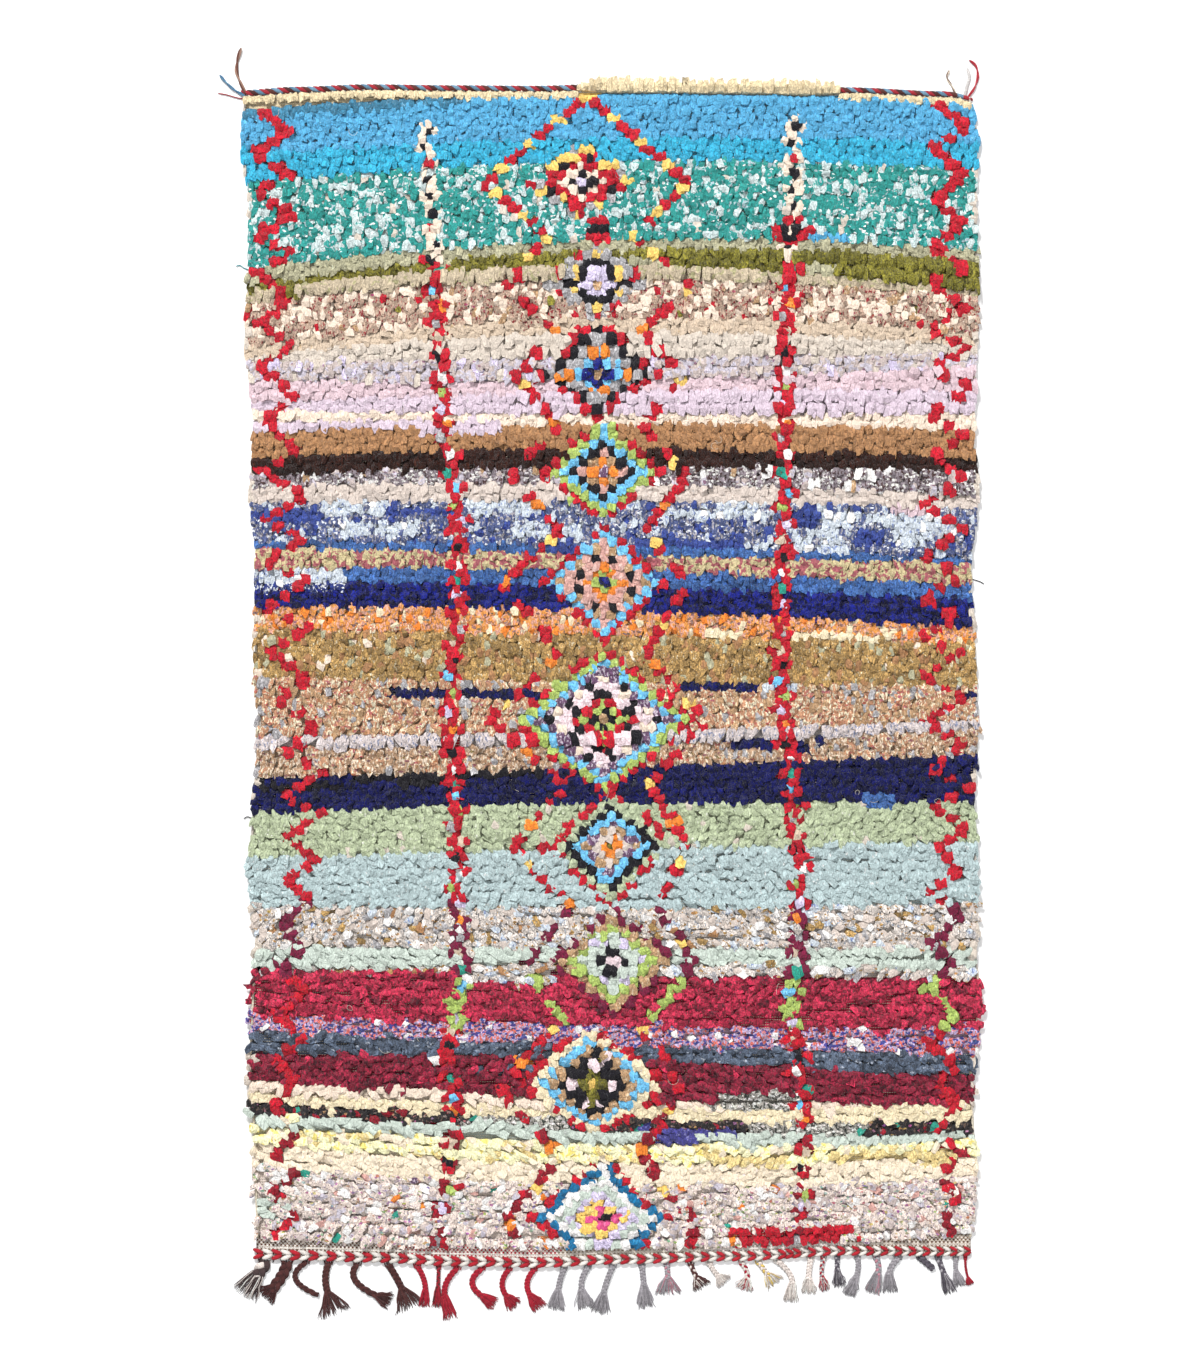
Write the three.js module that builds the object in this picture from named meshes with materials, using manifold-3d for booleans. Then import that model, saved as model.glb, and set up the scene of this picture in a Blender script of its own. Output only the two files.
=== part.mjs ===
// A boucherouite rug: a hand-knotted rag rug, laid flat with its plaited fringe spread out.
//
// The rug is one flat thing that rests on its underside at z = 0. It has four solids:
//   pile_field             the ground cloth with its knotted rag pile, a lumpy slab with locks at its rim
//   end_strip_and_braids   the narrow flat-woven end, with the plaits of its warp fused into it
//   bottom_edging          the two-colour twined cord that lies on the end strip
//   top_edging_and_ties    the twined cord along the other end, with the loose ends at its corners
//
// Units are millimetres and +Z is up. The origin is in the middle of the underside of the cloth.
// +X runs across the rug and +Y along it, away from the fringe.

import * as THREE from 'three';
import Module from 'manifold-3d';

const wasm = await Module();
wasm.setup();

// ---------------------------------------------------------------------------
// Driving dimensions
// ---------------------------------------------------------------------------

const GAP = 0.4;                 // between solids that touch on the real rug

const FOOT_MIDDLE = -1172;       // where the twined cord of the fringe end lies, on average
const TOP_MIDDLE = 1174;         // the outer edge of the other end, on average

const PILE_HEIGHT = 17;          // ground cloth and pile together
const PILE_LUMP = 3.4;           // how far the top of the pile rises and dips
const PILE_SHOULDER = 12;        // height of the pile at its very edge
const PILE_CELLS_ACROSS = 28;
const PILE_CELLS_ALONG = 50;
const SELVEDGE_INSET = 4;        // the ground cloth stands back under the pile at both sides
const RIM_WOBBLE = 3;            // the edge of the pile runs in and out by this much

const STRIP_DEPTH = 34;          // flat-woven end, from the middle of its cord to the pile
const STRIP_OVERHANG = 9.5;      // and from the middle of its cord outwards
const STRIP_THICKNESS = 4;

const FOOT_CORD = { halfWidth: 10, turn: 30 };  // turn: the length of one turn of the twining
const TOP_CORD = { halfWidth: 7.5, turn: 26 };
const EDGING_RISE = 4.4;         // thickness of the cord where two turns meet
const EDGING_CREST = 6.6;        // thickness of the cord in the middle of a turn
const EDGING_NARROWING = 0.84;   // width where two turns meet, as a share of the full width

const PLAIT_HEIGHT = 8.5;
const PLAIT_STEP = 20;           // length of plait between two sections
const TASSEL_FAN = 0.36;         // from the middle lock's tip to a side one's, as a share of the spread

const RIM_LOCK_PITCH_SIDE = 58;
const RIM_LOCK_PITCH_END = 76;

// How the two long edges drift: a row for each place along the rug.
const SIDE_DRIFT = [
  { along: 1160, left: -738, right: 720 },
  { along: 1074, left: -744, right: 734 },
  { along: 964, left: -726, right: 730 },
  { along: 844, left: -728, right: 734 },
  { along: 684, left: -736, right: 732 },
  { along: 484, left: -718, right: 726 },
  { along: 364, left: -726, right: 733 },
  { along: 204, left: -714, right: 719 },
  { along: 44, left: -718, right: 728 },
  { along: -136, left: -708, right: 734 },
  { along: -256, left: -720, right: 726 },
  { along: -396, left: -728, right: 731 },
  { along: -536, left: -714, right: 731 },
  { along: -656, left: -724, right: 738 },
  { along: -806, left: -728, right: 722 },
  { along: -976, left: -718, right: 728 },
  { along: -1180, left: -714, right: 720 },
];

// How the two ends drift: a row for each place across the rug.
const END_DRIFT = [
  { across: -738, top: 1160, foot: -1164 },
  { across: -624, top: 1172, foot: -1168 },
  { across: -484, top: 1178, foot: -1172 },
  { across: -304, top: 1176, foot: -1180 },
  { across: -144, top: 1175, foot: -1183 },
  { across: 16, top: 1180, foot: -1176 },
  { across: 246, top: 1178, foot: -1170 },
  { across: 476, top: 1172, foot: -1159 },
  { across: 676, top: 1164, foot: -1160 },
  { across: 726, top: 1154, foot: -1160 },
];

// The plaits of the fringe, from left to right: where each leaves the strip, how far its
// bend and its end lie to the side of that, how long the plait is down to its tassel, and
// the length and width of the tassel. A plait with no tassel ends against its neighbour.
const PLAITS = [
  { across: -692, bend: -8, end: -16, plait: 28, tassel: 38, spread: 30, width: 20 },
  { across: -646, bend: -12, end: -26, plait: 46, tassel: 0, spread: 0, width: 22 },
  { across: -608, bend: -16, end: -4, plait: 54, tassel: 0, spread: 0, width: 12 },
  { across: -564, bend: -8, end: -6, plait: 64, tassel: 50, spread: 34, width: 15 },
  { across: -510, bend: 0, end: 36, plait: 64, tassel: 36, spread: 22, width: 14 },
  { across: -448, bend: 18, end: 31, plait: 54, tassel: 44, spread: 27, width: 15 },
  { across: -390, bend: 13, end: 16, plait: 52, tassel: 36, spread: 16, width: 13 },
  { across: -347, bend: -1, end: -2, plait: 44, tassel: 42, spread: 14, width: 9 },
  { across: -310, bend: -22, end: -24, plait: 60, tassel: 50, spread: 20, width: 14 },
  { across: -260, bend: -20, end: 4, plait: 58, tassel: 34, spread: 20, width: 14 },
  { across: -206, bend: -14, end: -2, plait: 58, tassel: 30, spread: 24, width: 13 },
  { across: -156, bend: -14, end: -6, plait: 54, tassel: 38, spread: 24, width: 13 },
  { across: -96, bend: -8, end: -12, plait: 46, tassel: 44, spread: 26, width: 13 },
  { across: -48, bend: -12, end: -12, plait: 48, tassel: 42, spread: 26, width: 13 },
  { across: 2, bend: -12, end: -20, plait: 58, tassel: 44, spread: 28, width: 13 },
  { across: 60, bend: 2, end: 4, plait: 40, tassel: 52, spread: 26, width: 13 },
  { across: 110, bend: 1, end: 2, plait: 28, tassel: 38, spread: 38, width: 12 },
  { across: 158, bend: 6, end: 14, plait: 30, tassel: 28, spread: 30, width: 12 },
  { across: 196, bend: 8, end: 20, plait: 28, tassel: 22, spread: 24, width: 12 },
  { across: 260, bend: 10, end: 10, plait: 34, tassel: 28, spread: 26, width: 12 },
  { across: 294, bend: 10, end: 20, plait: 26, tassel: 30, spread: 30, width: 12 },
  { across: 332, bend: 23, end: 29, plait: 46, tassel: 42, spread: 20, width: 13 },
  { across: 398, bend: -3, end: -4, plait: 42, tassel: 34, spread: 22, width: 13 },
  { across: 424, bend: -4, end: -2, plait: 42, tassel: 30, spread: 14, width: 10 },
  { across: 452, bend: -1, end: 0, plait: 28, tassel: 38, spread: 16, width: 11 },
  { across: 492, bend: 1, end: -4, plait: 42, tassel: 44, spread: 18, width: 12 },
  { across: 530, bend: 4, end: 2, plait: 34, tassel: 46, spread: 22, width: 13 },
  { across: 574, bend: -14, end: -18, plait: 34, tassel: 42, spread: 22, width: 14 },
  { across: 618, bend: 14, end: 26, plait: 22, tassel: 0, spread: 0, width: 15 },
  { across: 654, bend: 6, end: 12, plait: 34, tassel: 46, spread: 20, width: 13 },
  { across: 689, bend: -1, end: 1, plait: 30, tassel: 34, spread: 20, width: 10 },
  { across: 708, bend: 1, end: 7, plait: 44, tassel: 16, spread: 10, width: 6 },
];

// The loose ends at the two corners of the other end, each as its points across and along.
const TIES = [
  { name: 'warp end', width: 9, route: [[-733, 1158], [-744, 1180], [-752, 1202], [-750, 1226], [-743, 1250]] },
  { name: 'yarn end', width: 7, route: [[-732, 1152], [-756, 1166], [-774, 1182], [-786, 1196]] },
  { name: 'short yarn end', width: 5, route: [[-732, 1148], [-760, 1154], [-790, 1160]] },
  { name: 'cord end', width: 6, route: [[712, 1150], [727, 1172], [733, 1196], [728, 1216], [716, 1226]] },
  { name: 'folded strip', width: 8, route: [[706, 1152], [711, 1172], [716, 1192], [712, 1210]] },
  { name: 'yarn curl', width: 5, route: [[690, 1156], [680, 1176], [671, 1192], [676, 1206]] },
];

// ---------------------------------------------------------------------------
// Small helpers
// ---------------------------------------------------------------------------

// A number from 0 to 1 that looks random and is the same for the same seed.
function chance(seed) {
  const value = Math.sin(seed * 12.9898 + 4.1) * 43758.5453;
  return value - Math.floor(value);
}

function mix(from, to, share) {
  return from + (to - from) * share;
}

// Reads one column of a drift table, eased between its rows.
function readTable(table, key, column, at) {
  const rows = [...table].sort((a, b) => a[key] - b[key]);
  if (at <= rows[0][key]) return rows[0][column];
  for (let i = 1; i < rows.length; i++) {
    const low = rows[i - 1];
    const high = rows[i];
    if (at > high[key]) continue;
    const share = (at - low[key]) / (high[key] - low[key]);
    return mix(low[column], high[column], THREE.MathUtils.smoothstep(share, 0, 1));
  }
  return rows[rows.length - 1][column];
}

const footAt = (x) => readTable(END_DRIFT, 'across', 'foot', x);
const topAt = (x) => readTable(END_DRIFT, 'across', 'top', x);

// The place on the cloth that is a share u across it from the left, at a given height along it.
function acrossAt(u, along) {
  const left = readTable(SIDE_DRIFT, 'along', 'left', along);
  const right = readTable(SIDE_DRIFT, 'along', 'right', along);
  return mix(left, right, u);
}

function solidOf(points, triangles) {
  const mesh = new wasm.Mesh({
    numProp: 3,
    vertProperties: new Float32Array(points.flat()),
    triVerts: new Uint32Array(triangles.flat()),
  });
  mesh.merge();
  return new wasm.Manifold(mesh);
}

function geometryOf(solid) {
  const { vertProperties, triVerts } = solid.getMesh();
  const geometry = new THREE.BufferGeometry();
  geometry.setAttribute('position', new THREE.BufferAttribute(new Float32Array(vertProperties), 3));
  geometry.setIndex(new THREE.BufferAttribute(new Uint32Array(triVerts), 1));
  return geometry;
}

// Joins closed solids into one, pair by pair, so that each join stays small.
function joinAll(solids) {
  let left = solids;
  while (left.length > 1) {
    const next = [];
    for (let i = 0; i < left.length; i += 2) {
      next.push(i + 1 < left.length ? left[i].add(left[i + 1]) : left[i]);
    }
    left = next;
  }
  return left[0];
}

// A four-sided strand through a row of sections. A section is a place, a half-width, the
// heights of its underside and of its top, and the share of its width that its top keeps.
function strand(sections) {
  const points = [];
  const triangles = [];
  sections.forEach((section, i) => {
    const before = sections[Math.max(i - 1, 0)];
    const after = sections[Math.min(i + 1, sections.length - 1)];
    const way = new THREE.Vector2(after.x - before.x, after.y - before.y).normalize();
    const side = new THREE.Vector2(-way.y, way.x);
    const corners = [
      [-section.half, section.low],
      [section.half, section.low],
      [section.half * section.crown, section.high],
      [-section.half * section.crown, section.high],
    ];
    for (const [offset, z] of corners) {
      points.push([section.x - side.x * offset, section.y - side.y * offset, z]);
    }
    if (i === 0) return;
    for (let k = 0; k < 4; k++) {
      const a = 4 * (i - 1) + k;
      const b = 4 * (i - 1) + (k + 1) % 4;
      triangles.push([a, a + 4, b + 4], [a, b + 4, b]);
    }
  });
  const last = points.length - 4;
  triangles.push([0, 1, 2], [0, 2, 3]);
  triangles.push([last, last + 2, last + 1], [last, last + 3, last + 2]);
  return solidOf(points, triangles);
}

// ---------------------------------------------------------------------------
// The ground cloth with its pile
// ---------------------------------------------------------------------------

// The pile rises and dips in soft lumps that follow its rows of knots.
function pileTop(x, y, seed) {
  const rows = Math.sin(y / 29 + Math.sin(x / 170) * 1.4);
  const bunches = Math.sin(x / 41 + y / 83) * Math.cos(x / 67 - y / 52);
  return PILE_HEIGHT + PILE_LUMP * (0.42 * rows + 0.3 * bunches + 0.7 * (chance(seed) - 0.5));
}

// Edge of the pile at the share u across and v along, before it runs in and out.
function pilePlace(u, v) {
  const guess = mix(FOOT_MIDDLE + STRIP_DEPTH, TOP_MIDDLE, v);
  const x = acrossAt(u, guess);
  const foot = footAt(x) + STRIP_DEPTH + GAP;
  const top = topAt(x) - 2 * TOP_CORD.halfWidth - GAP;
  return { x, y: mix(foot, top, v) };
}

function pileSlab() {
  const across = PILE_CELLS_ACROSS;
  const along = PILE_CELLS_ALONG;
  const index = (i, j) => j * (across + 1) + i;
  const points = [];
  const triangles = [];
  for (let j = 0; j <= along; j++) {
    for (let i = 0; i <= across; i++) {
      const seed = index(i, j);
      const atSide = i === 0 || i === across;
      const atEnd = j === 0 || j === along;
      const { x, y } = pilePlace(i / across, j / along);
      const outwards = i === 0 ? -1 : 1;
      const wobble = atSide ? outwards * RIM_WOBBLE * (chance(seed * 3) - 0.5) * 2 : 0;
      const z = atSide || atEnd ? PILE_SHOULDER : pileTop(x, y, seed);
      points.push([x + wobble, y, z]);
    }
  }
  for (let j = 0; j < along; j++) {
    for (let i = 0; i < across; i++) {
      const a = index(i, j);
      const b = index(i + 1, j);
      const c = index(i + 1, j + 1);
      const d = index(i, j + 1);
      if ((i + j) % 2) triangles.push([a, b, c], [a, c, d]);
      else triangles.push([a, b, d], [b, c, d]);
    }
  }

  // The rim goes once round the slab, anticlockwise from the left end of the foot.
  const rim = [];
  for (let i = 0; i < across; i++) rim.push(index(i, 0));
  for (let j = 0; j < along; j++) rim.push(index(across, j));
  for (let i = across; i > 0; i--) rim.push(index(i, along));
  for (let j = along; j > 0; j--) rim.push(index(0, j));

  const base = points.length;
  const outline = rim.map((at) => {
    const column = at % (across + 1);
    const inset = column === 0 ? SELVEDGE_INSET : column === across ? -SELVEDGE_INSET : 0;
    return new THREE.Vector2(points[at][0] + inset, points[at][1]);
  });
  outline.forEach((place) => points.push([place.x, place.y, 0]));
  rim.forEach((at, k) => {
    const next = (k + 1) % rim.length;
    triangles.push([base + k, base + next, rim[next]], [base + k, rim[next], at]);
  });
  for (const [a, b, c] of THREE.ShapeUtils.triangulateShape(outline, [])) {
    triangles.push([base + a, base + c, base + b]);
  }
  return solidOf(points, triangles);
}

// One lock of pile at the rim. It is rooted in the wall of the slab, below the shoulder, and
// droops as it reaches out. It keeps above the floor that is given, a cord's top or the ground.
function rimLock(x, y, outX, outY, seed, floor) {
  const turn = (chance(seed) - 0.5) * 0.9;
  const way = new THREE.Vector2(outX, outY).rotateAround(new THREE.Vector2(), turn);
  const reach = mix(5, 10, chance(seed + 0.3));
  const half = mix(5.5, 9, chance(seed + 0.6));
  const at = (far) => ({ x: x + way.x * far, y: y + way.y * far });
  return strand([
    { ...at(-9), half: half * 0.8, low: floor + 1.4, high: PILE_SHOULDER - 0.5, crown: 0.9 },
    { ...at(reach * 0.4), half, low: floor + 0.8, high: PILE_SHOULDER - 1, crown: 0.8 },
    { ...at(reach), half: half * 0.62, low: floor + 0.4, high: floor + 3.4, crown: 0.7 },
  ]);
}

function pileField() {
  const solids = [pileSlab()];
  const sideLocks = Math.round((TOP_MIDDLE - FOOT_MIDDLE) / RIM_LOCK_PITCH_SIDE);
  for (let k = 1; k < sideLocks; k++) {
    for (const u of [0, 1]) {
      const seed = k * 2 + u + 0.17;
      const v = (k + (chance(seed + 7) - 0.5) * 0.5) / sideLocks;
      const { x, y } = pilePlace(u, v);
      solids.push(rimLock(x, y, u ? 1 : -1, 0, seed, 0.6));
    }
  }
  const width = acrossAt(1, 0) - acrossAt(0, 0);
  const endLocks = Math.round(width / RIM_LOCK_PITCH_END);
  const clearOfStrip = STRIP_THICKNESS + GAP;
  const clearOfEdging = EDGING_CREST + 2 * GAP;
  for (let k = 1; k < endLocks; k++) {
    const seed = 300 + k;
    const u = (k + (chance(seed) - 0.5) * 0.5) / endLocks;
    const foot = pilePlace(u, 0);
    const top = pilePlace(u, 1);
    solids.push(rimLock(foot.x, foot.y, 0, -1, seed, clearOfStrip));
    solids.push(rimLock(top.x, top.y, 0, 1, seed + 0.5, clearOfEdging));
  }
  return joinAll(solids);
}

// ---------------------------------------------------------------------------
// The flat-woven end and its plaits
// ---------------------------------------------------------------------------

// The strip is one long strand with a flat section, so both its edges follow the foot.
function endStrip() {
  const sections = [];
  const depth = STRIP_DEPTH + STRIP_OVERHANG;
  for (let i = 0; i <= PILE_CELLS_ACROSS; i++) {
    const { x, y } = pilePlace(i / PILE_CELLS_ACROSS, 0);
    sections.push({ x, edge: y - GAP });
  }
  const points = [];
  const triangles = [];
  sections.forEach(({ x, edge }, i) => {
    points.push([x, edge - depth, 0], [x, edge, 0]);
    points.push([x, edge, STRIP_THICKNESS], [x, edge - depth, STRIP_THICKNESS]);
    if (i === 0) return;
    for (let k = 0; k < 4; k++) {
      const a = 4 * (i - 1) + k;
      const b = 4 * (i - 1) + (k + 1) % 4;
      triangles.push([a, b, b + 4], [a, b + 4, a + 4]);
    }
  });
  const last = points.length - 4;
  triangles.push([0, 2, 1], [0, 3, 2]);
  triangles.push([last, last + 1, last + 2], [last, last + 2, last + 3]);
  return solidOf(points, triangles);
}

// A plait leaves the strip under the edging, bends to the side and lies on the floor.
function plait({ across, bend, end, plait: length, tassel, spread, width }) {
  const foot = footAt(across);
  const edge = foot - STRIP_OVERHANG;
  const half = width / 2;
  const start = edge - 7;
  const path = new THREE.QuadraticBezierCurve(
    new THREE.Vector2(across, start),
    new THREE.Vector2(across + bend * 2 - end / 2, start - length / 2),
    new THREE.Vector2(across + end, start - length),
  );
  const sections = [
    { x: across, y: foot, half: half * 0.8, low: 0.2, high: STRIP_THICKNESS - 0.2, crown: 0.9 },
    { x: across, y: edge - 0.6, half, low: 0, high: STRIP_THICKNESS - 0.2, crown: 0.8 },
  ];
  const steps = Math.max(1, Math.round(length / PLAIT_STEP));
  for (let i = 0; i <= steps; i++) {
    const place = path.getPoint(i / steps);
    const neck = i === steps ? 0.82 : 1;
    const size = { half: half * neck, low: 0, high: PLAIT_HEIGHT * neck, crown: 0.62 };
    sections.push({ x: place.x, y: place.y, ...size });
  }
  if (!tassel) return [strand(sections)];

  // The middle lock of the tassel goes on from the plait, and one more fans out on each side.
  const neck = path.getPoint(1);
  const way = path.getTangent(1);
  const lockTo = (fan, far, aside) => {
    const out = way.clone().rotateAround(new THREE.Vector2(), fan);
    return { x: neck.x - way.y * aside + out.x * far, y: neck.y + way.x * aside + out.y * far };
  };
  const belly = { half: spread * 0.2, low: 0, high: PLAIT_HEIGHT * 0.86, crown: 0.6 };
  sections.push({ ...lockTo(0, tassel * 0.5, 0), ...belly });
  sections.push({ ...lockTo(0, tassel, 0), half: spread * 0.12, low: 0, high: 2.6, crown: 0.6 });
  const solids = [strand(sections)];
  for (const side of [-1, 1]) {
    const reach = tassel * mix(0.76, 0.95, chance(across + side));
    const fan = side * Math.atan2(spread * TASSEL_FAN, tassel);
    solids.push(strand([
      { ...lockTo(fan, -1, side * 0.5), half: half * 0.42, low: 0.3, high: PLAIT_HEIGHT * 0.7, crown: 0.8 },
      { ...lockTo(fan, reach, side * 1.5), half: spread * 0.15, low: 0, high: 3, crown: 0.6 },
    ]));
  }
  return solids;
}

function endStripAndBraids() {
  return joinAll([endStrip(), ...PLAITS.flatMap(plait)]);
}

// ---------------------------------------------------------------------------
// The twined cords and the loose ends at the corners
// ---------------------------------------------------------------------------

// A cord of two strands twined about each other: its width and height swell with each turn.
function twinedCord(places, halfWidth, floor) {
  return strand(places.map(({ x, y }, i) => {
    const crest = i % 2 === 1;
    return {
      x,
      y,
      half: halfWidth * (crest ? 1 : EDGING_NARROWING),
      low: floor,
      high: floor + (crest ? EDGING_CREST : EDGING_RISE),
      crown: 0.58,
    };
  }));
}

// The straight stretches of the pile's edge at the foot, v = 0, or at the top, v = 1.
function pileEdge(v) {
  const places = [];
  for (let i = 0; i <= PILE_CELLS_ACROSS; i++) places.push(pilePlace(i / PILE_CELLS_ACROSS, v));
  return (x) => {
    const after = Math.max(1, places.findIndex((place) => place.x > x));
    const low = places[after - 1];
    const high = places[after];
    return mix(low.y, high.y, (x - low.x) / (high.x - low.x));
  };
}

// Places along an end of the rug, half a turn apart.
function endPlaces(edgeOf, turn, inset) {
  const left = acrossAt(0, edgeOf(-700));
  const right = acrossAt(1, edgeOf(700));
  const count = 2 * Math.round((right - left - 2 * inset) / turn);
  const places = [];
  for (let i = 0; i <= count; i++) {
    const x = mix(left + inset, right - inset, i / count);
    places.push({ x, y: edgeOf(x) });
  }
  return places;
}

function bottomEdging() {
  const edge = pileEdge(0);
  const middle = (x) => edge(x) - GAP - STRIP_DEPTH;
  const places = endPlaces(middle, FOOT_CORD.turn, 3);
  return twinedCord(places, FOOT_CORD.halfWidth, STRIP_THICKNESS + GAP);
}

function topEdgingAndTies() {
  const edge = pileEdge(1);
  const middle = (x) => edge(x) + GAP + TOP_CORD.halfWidth;
  const solids = [twinedCord(endPlaces(middle, TOP_CORD.turn, 4), TOP_CORD.halfWidth, 0)];
  for (const { width, route } of TIES) {
    const curve = new THREE.CatmullRomCurve3(route.map(([x, y]) => new THREE.Vector3(x, y, 0)));
    const steps = route.length + 2;
    const sections = [];
    for (let i = 0; i <= steps; i++) {
      const { x, y } = curve.getPoint(i / steps);
      const taper = i === steps ? 0.6 : 1;
      const rooted = i === 0;
      const low = rooted ? 0.3 : 0;
      const high = rooted ? EDGING_RISE - 0.6 : Math.min(width, 7) * taper;
      sections.push({ x, y, half: width / 2 * taper, low, high, crown: 0.6 });
    }
    solids.push(strand(sections));
  }
  return joinAll(solids);
}

// ---------------------------------------------------------------------------
// The rug
// ---------------------------------------------------------------------------

function cloth(name, solid, color, roughness) {
  const material = new THREE.MeshStandardMaterial({ color, roughness, metalness: 0 });
  const mesh = new THREE.Mesh(geometryOf(solid), material);
  mesh.name = name;
  return mesh;
}

const rug = new THREE.Group();
rug.name = 'boucherouite_rug';
rug.add(
  cloth('pile_field', pileField(), 0x9c8f96, 0.95),
  cloth('end_strip_and_braids', endStripAndBraids(), 0x7d6a6a, 0.95),
  cloth('bottom_edging', bottomEdging(), 0xb03a40, 0.9),
  cloth('top_edging_and_ties', topEdgingAndTies(), 0x7a4a58, 0.9),
);

export default rug;
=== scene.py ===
# %% [markdown]
# # A boucherouite rug
#
# A boucherouite is a rug that is knotted at home from torn-up clothes. This one lies flat on a pale
# floor and is seen from straight above: rows of rag knots in some forty bands of colour, a column of
# lozenges down the middle, zigzags along both sides, a strip of flat weave at the foot with a twined
# red and white cord over it, and a fringe of plaits.
#
# The imported model is loaded first. It is the frame that everything here has to fit.

# %% Load the imported frame
from functools import partial

import bpy
import numpy as np
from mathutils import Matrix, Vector


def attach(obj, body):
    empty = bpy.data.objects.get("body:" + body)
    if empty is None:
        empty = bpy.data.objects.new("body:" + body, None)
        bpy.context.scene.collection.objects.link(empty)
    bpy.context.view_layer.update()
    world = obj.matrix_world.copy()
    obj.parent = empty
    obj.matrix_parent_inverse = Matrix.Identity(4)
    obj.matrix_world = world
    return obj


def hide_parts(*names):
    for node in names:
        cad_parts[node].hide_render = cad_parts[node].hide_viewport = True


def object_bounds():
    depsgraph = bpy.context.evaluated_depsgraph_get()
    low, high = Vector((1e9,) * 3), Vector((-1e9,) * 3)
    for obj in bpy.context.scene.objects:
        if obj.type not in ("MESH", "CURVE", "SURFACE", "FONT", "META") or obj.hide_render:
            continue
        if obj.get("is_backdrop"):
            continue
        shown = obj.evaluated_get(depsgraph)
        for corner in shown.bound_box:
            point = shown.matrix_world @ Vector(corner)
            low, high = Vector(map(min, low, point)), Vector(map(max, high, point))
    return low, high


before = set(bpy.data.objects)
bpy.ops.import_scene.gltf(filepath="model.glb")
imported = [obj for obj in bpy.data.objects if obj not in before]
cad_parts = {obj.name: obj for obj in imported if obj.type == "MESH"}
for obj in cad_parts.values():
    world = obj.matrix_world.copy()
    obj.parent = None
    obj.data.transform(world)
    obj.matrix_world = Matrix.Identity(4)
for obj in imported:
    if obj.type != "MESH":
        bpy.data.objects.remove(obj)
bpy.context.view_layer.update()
rng = np.random.default_rng(20)
MM = 0.001
CUBIC_CM = 1000  # cubic millimetres
print("frame nodes:", sorted(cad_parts))

# %% [markdown]
# ## Camera, floor and light
#
# The rug is looked at from straight above, from far enough away that its edges show no perspective.
# A long lens does that and still lets other views be taken by moving the same camera. The floor is
# one plain pale sheet, a little below the rug. Three large soft lamps stand for a studio: one from
# the head of the rug gives the pile its small shadows, the others lift them.

# %% Camera, lamps and world
IMAGE_SIZE = (1200, 1351)
MM_PER_PIXEL = 2.0
RUG_MIDDLE_PIXEL = (612, 672)
LENS_MM = 90.0
SENSOR_MM = 36.0
PILE_TOP = 15 * MM

view_height = IMAGE_SIZE[1] * MM_PER_PIXEL * MM
camera_height = view_height * LENS_MM / SENSOR_MM + PILE_TOP
camera_x = (IMAGE_SIZE[0] / 2 - RUG_MIDDLE_PIXEL[0]) * MM_PER_PIXEL * MM
camera_y = (RUG_MIDDLE_PIXEL[1] - IMAGE_SIZE[1] / 2) * MM_PER_PIXEL * MM
lens = bpy.data.cameras.new("rug_camera")
lens.lens = LENS_MM
lens.sensor_width = SENSOR_MM
lens.clip_end = 60
camera = bpy.data.objects.new("rug_camera", lens)
camera.location = (camera_x, camera_y, camera_height)
bpy.context.scene.collection.objects.link(camera)
bpy.context.scene.camera = camera
bpy.context.scene.view_settings.view_transform = "Standard"
print(f"camera {camera_height:.2f} m up, frame {view_height:.3f} m high")


def soft_lamp(name, place, size, power):
    """A square area lamp of that size in metres, aimed at the middle of the rug."""
    data = bpy.data.lights.new(name, "AREA")
    data.size = size
    data.energy = power
    lamp = bpy.data.objects.new(name, data)
    lamp.location = place
    lamp.rotation_euler = (-Vector(place)).to_track_quat("-Z", "Y").to_euler()
    bpy.context.scene.collection.objects.link(lamp)


soft_lamp("head_light", (-3.5, 9.5, 10.0), 2.6, 2400)
soft_lamp("overhead_light", (1.5, -1.5, 13.0), 8.0, 480)
soft_lamp("side_light", (9.0, -3.0, 7.0), 5.0, 250)
world = bpy.data.worlds.new("studio")
world.use_nodes = True
world.node_tree.nodes["Background"].inputs["Color"].default_value = (0.97, 0.98, 1.0, 1)
world.node_tree.nodes["Background"].inputs["Strength"].default_value = 0.38
bpy.context.scene.world = world

# %% [markdown]
# ## Building meshes from arrays
#
# Every piece below is a set of points worked out in one go with numpy and joined by four-sided faces.
# Nearly all of them are sweeps: a small section carried along a path. One helper turns arrays into a
# Blender mesh, another carries a section along many paths of equal length at once, so a thousand rag
# ends cost no more code than one.

# %% Colours and meshes
def linear(code):
    """The linear light of a colour written as six hex digits, by the usual screen curve."""
    value = np.array([int(code[i:i + 2], 16) for i in (0, 2, 4)]) / 255
    return np.where(value <= 0.04045, value / 12.92, ((value + 0.055) / 1.055) ** 2.4)


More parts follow.
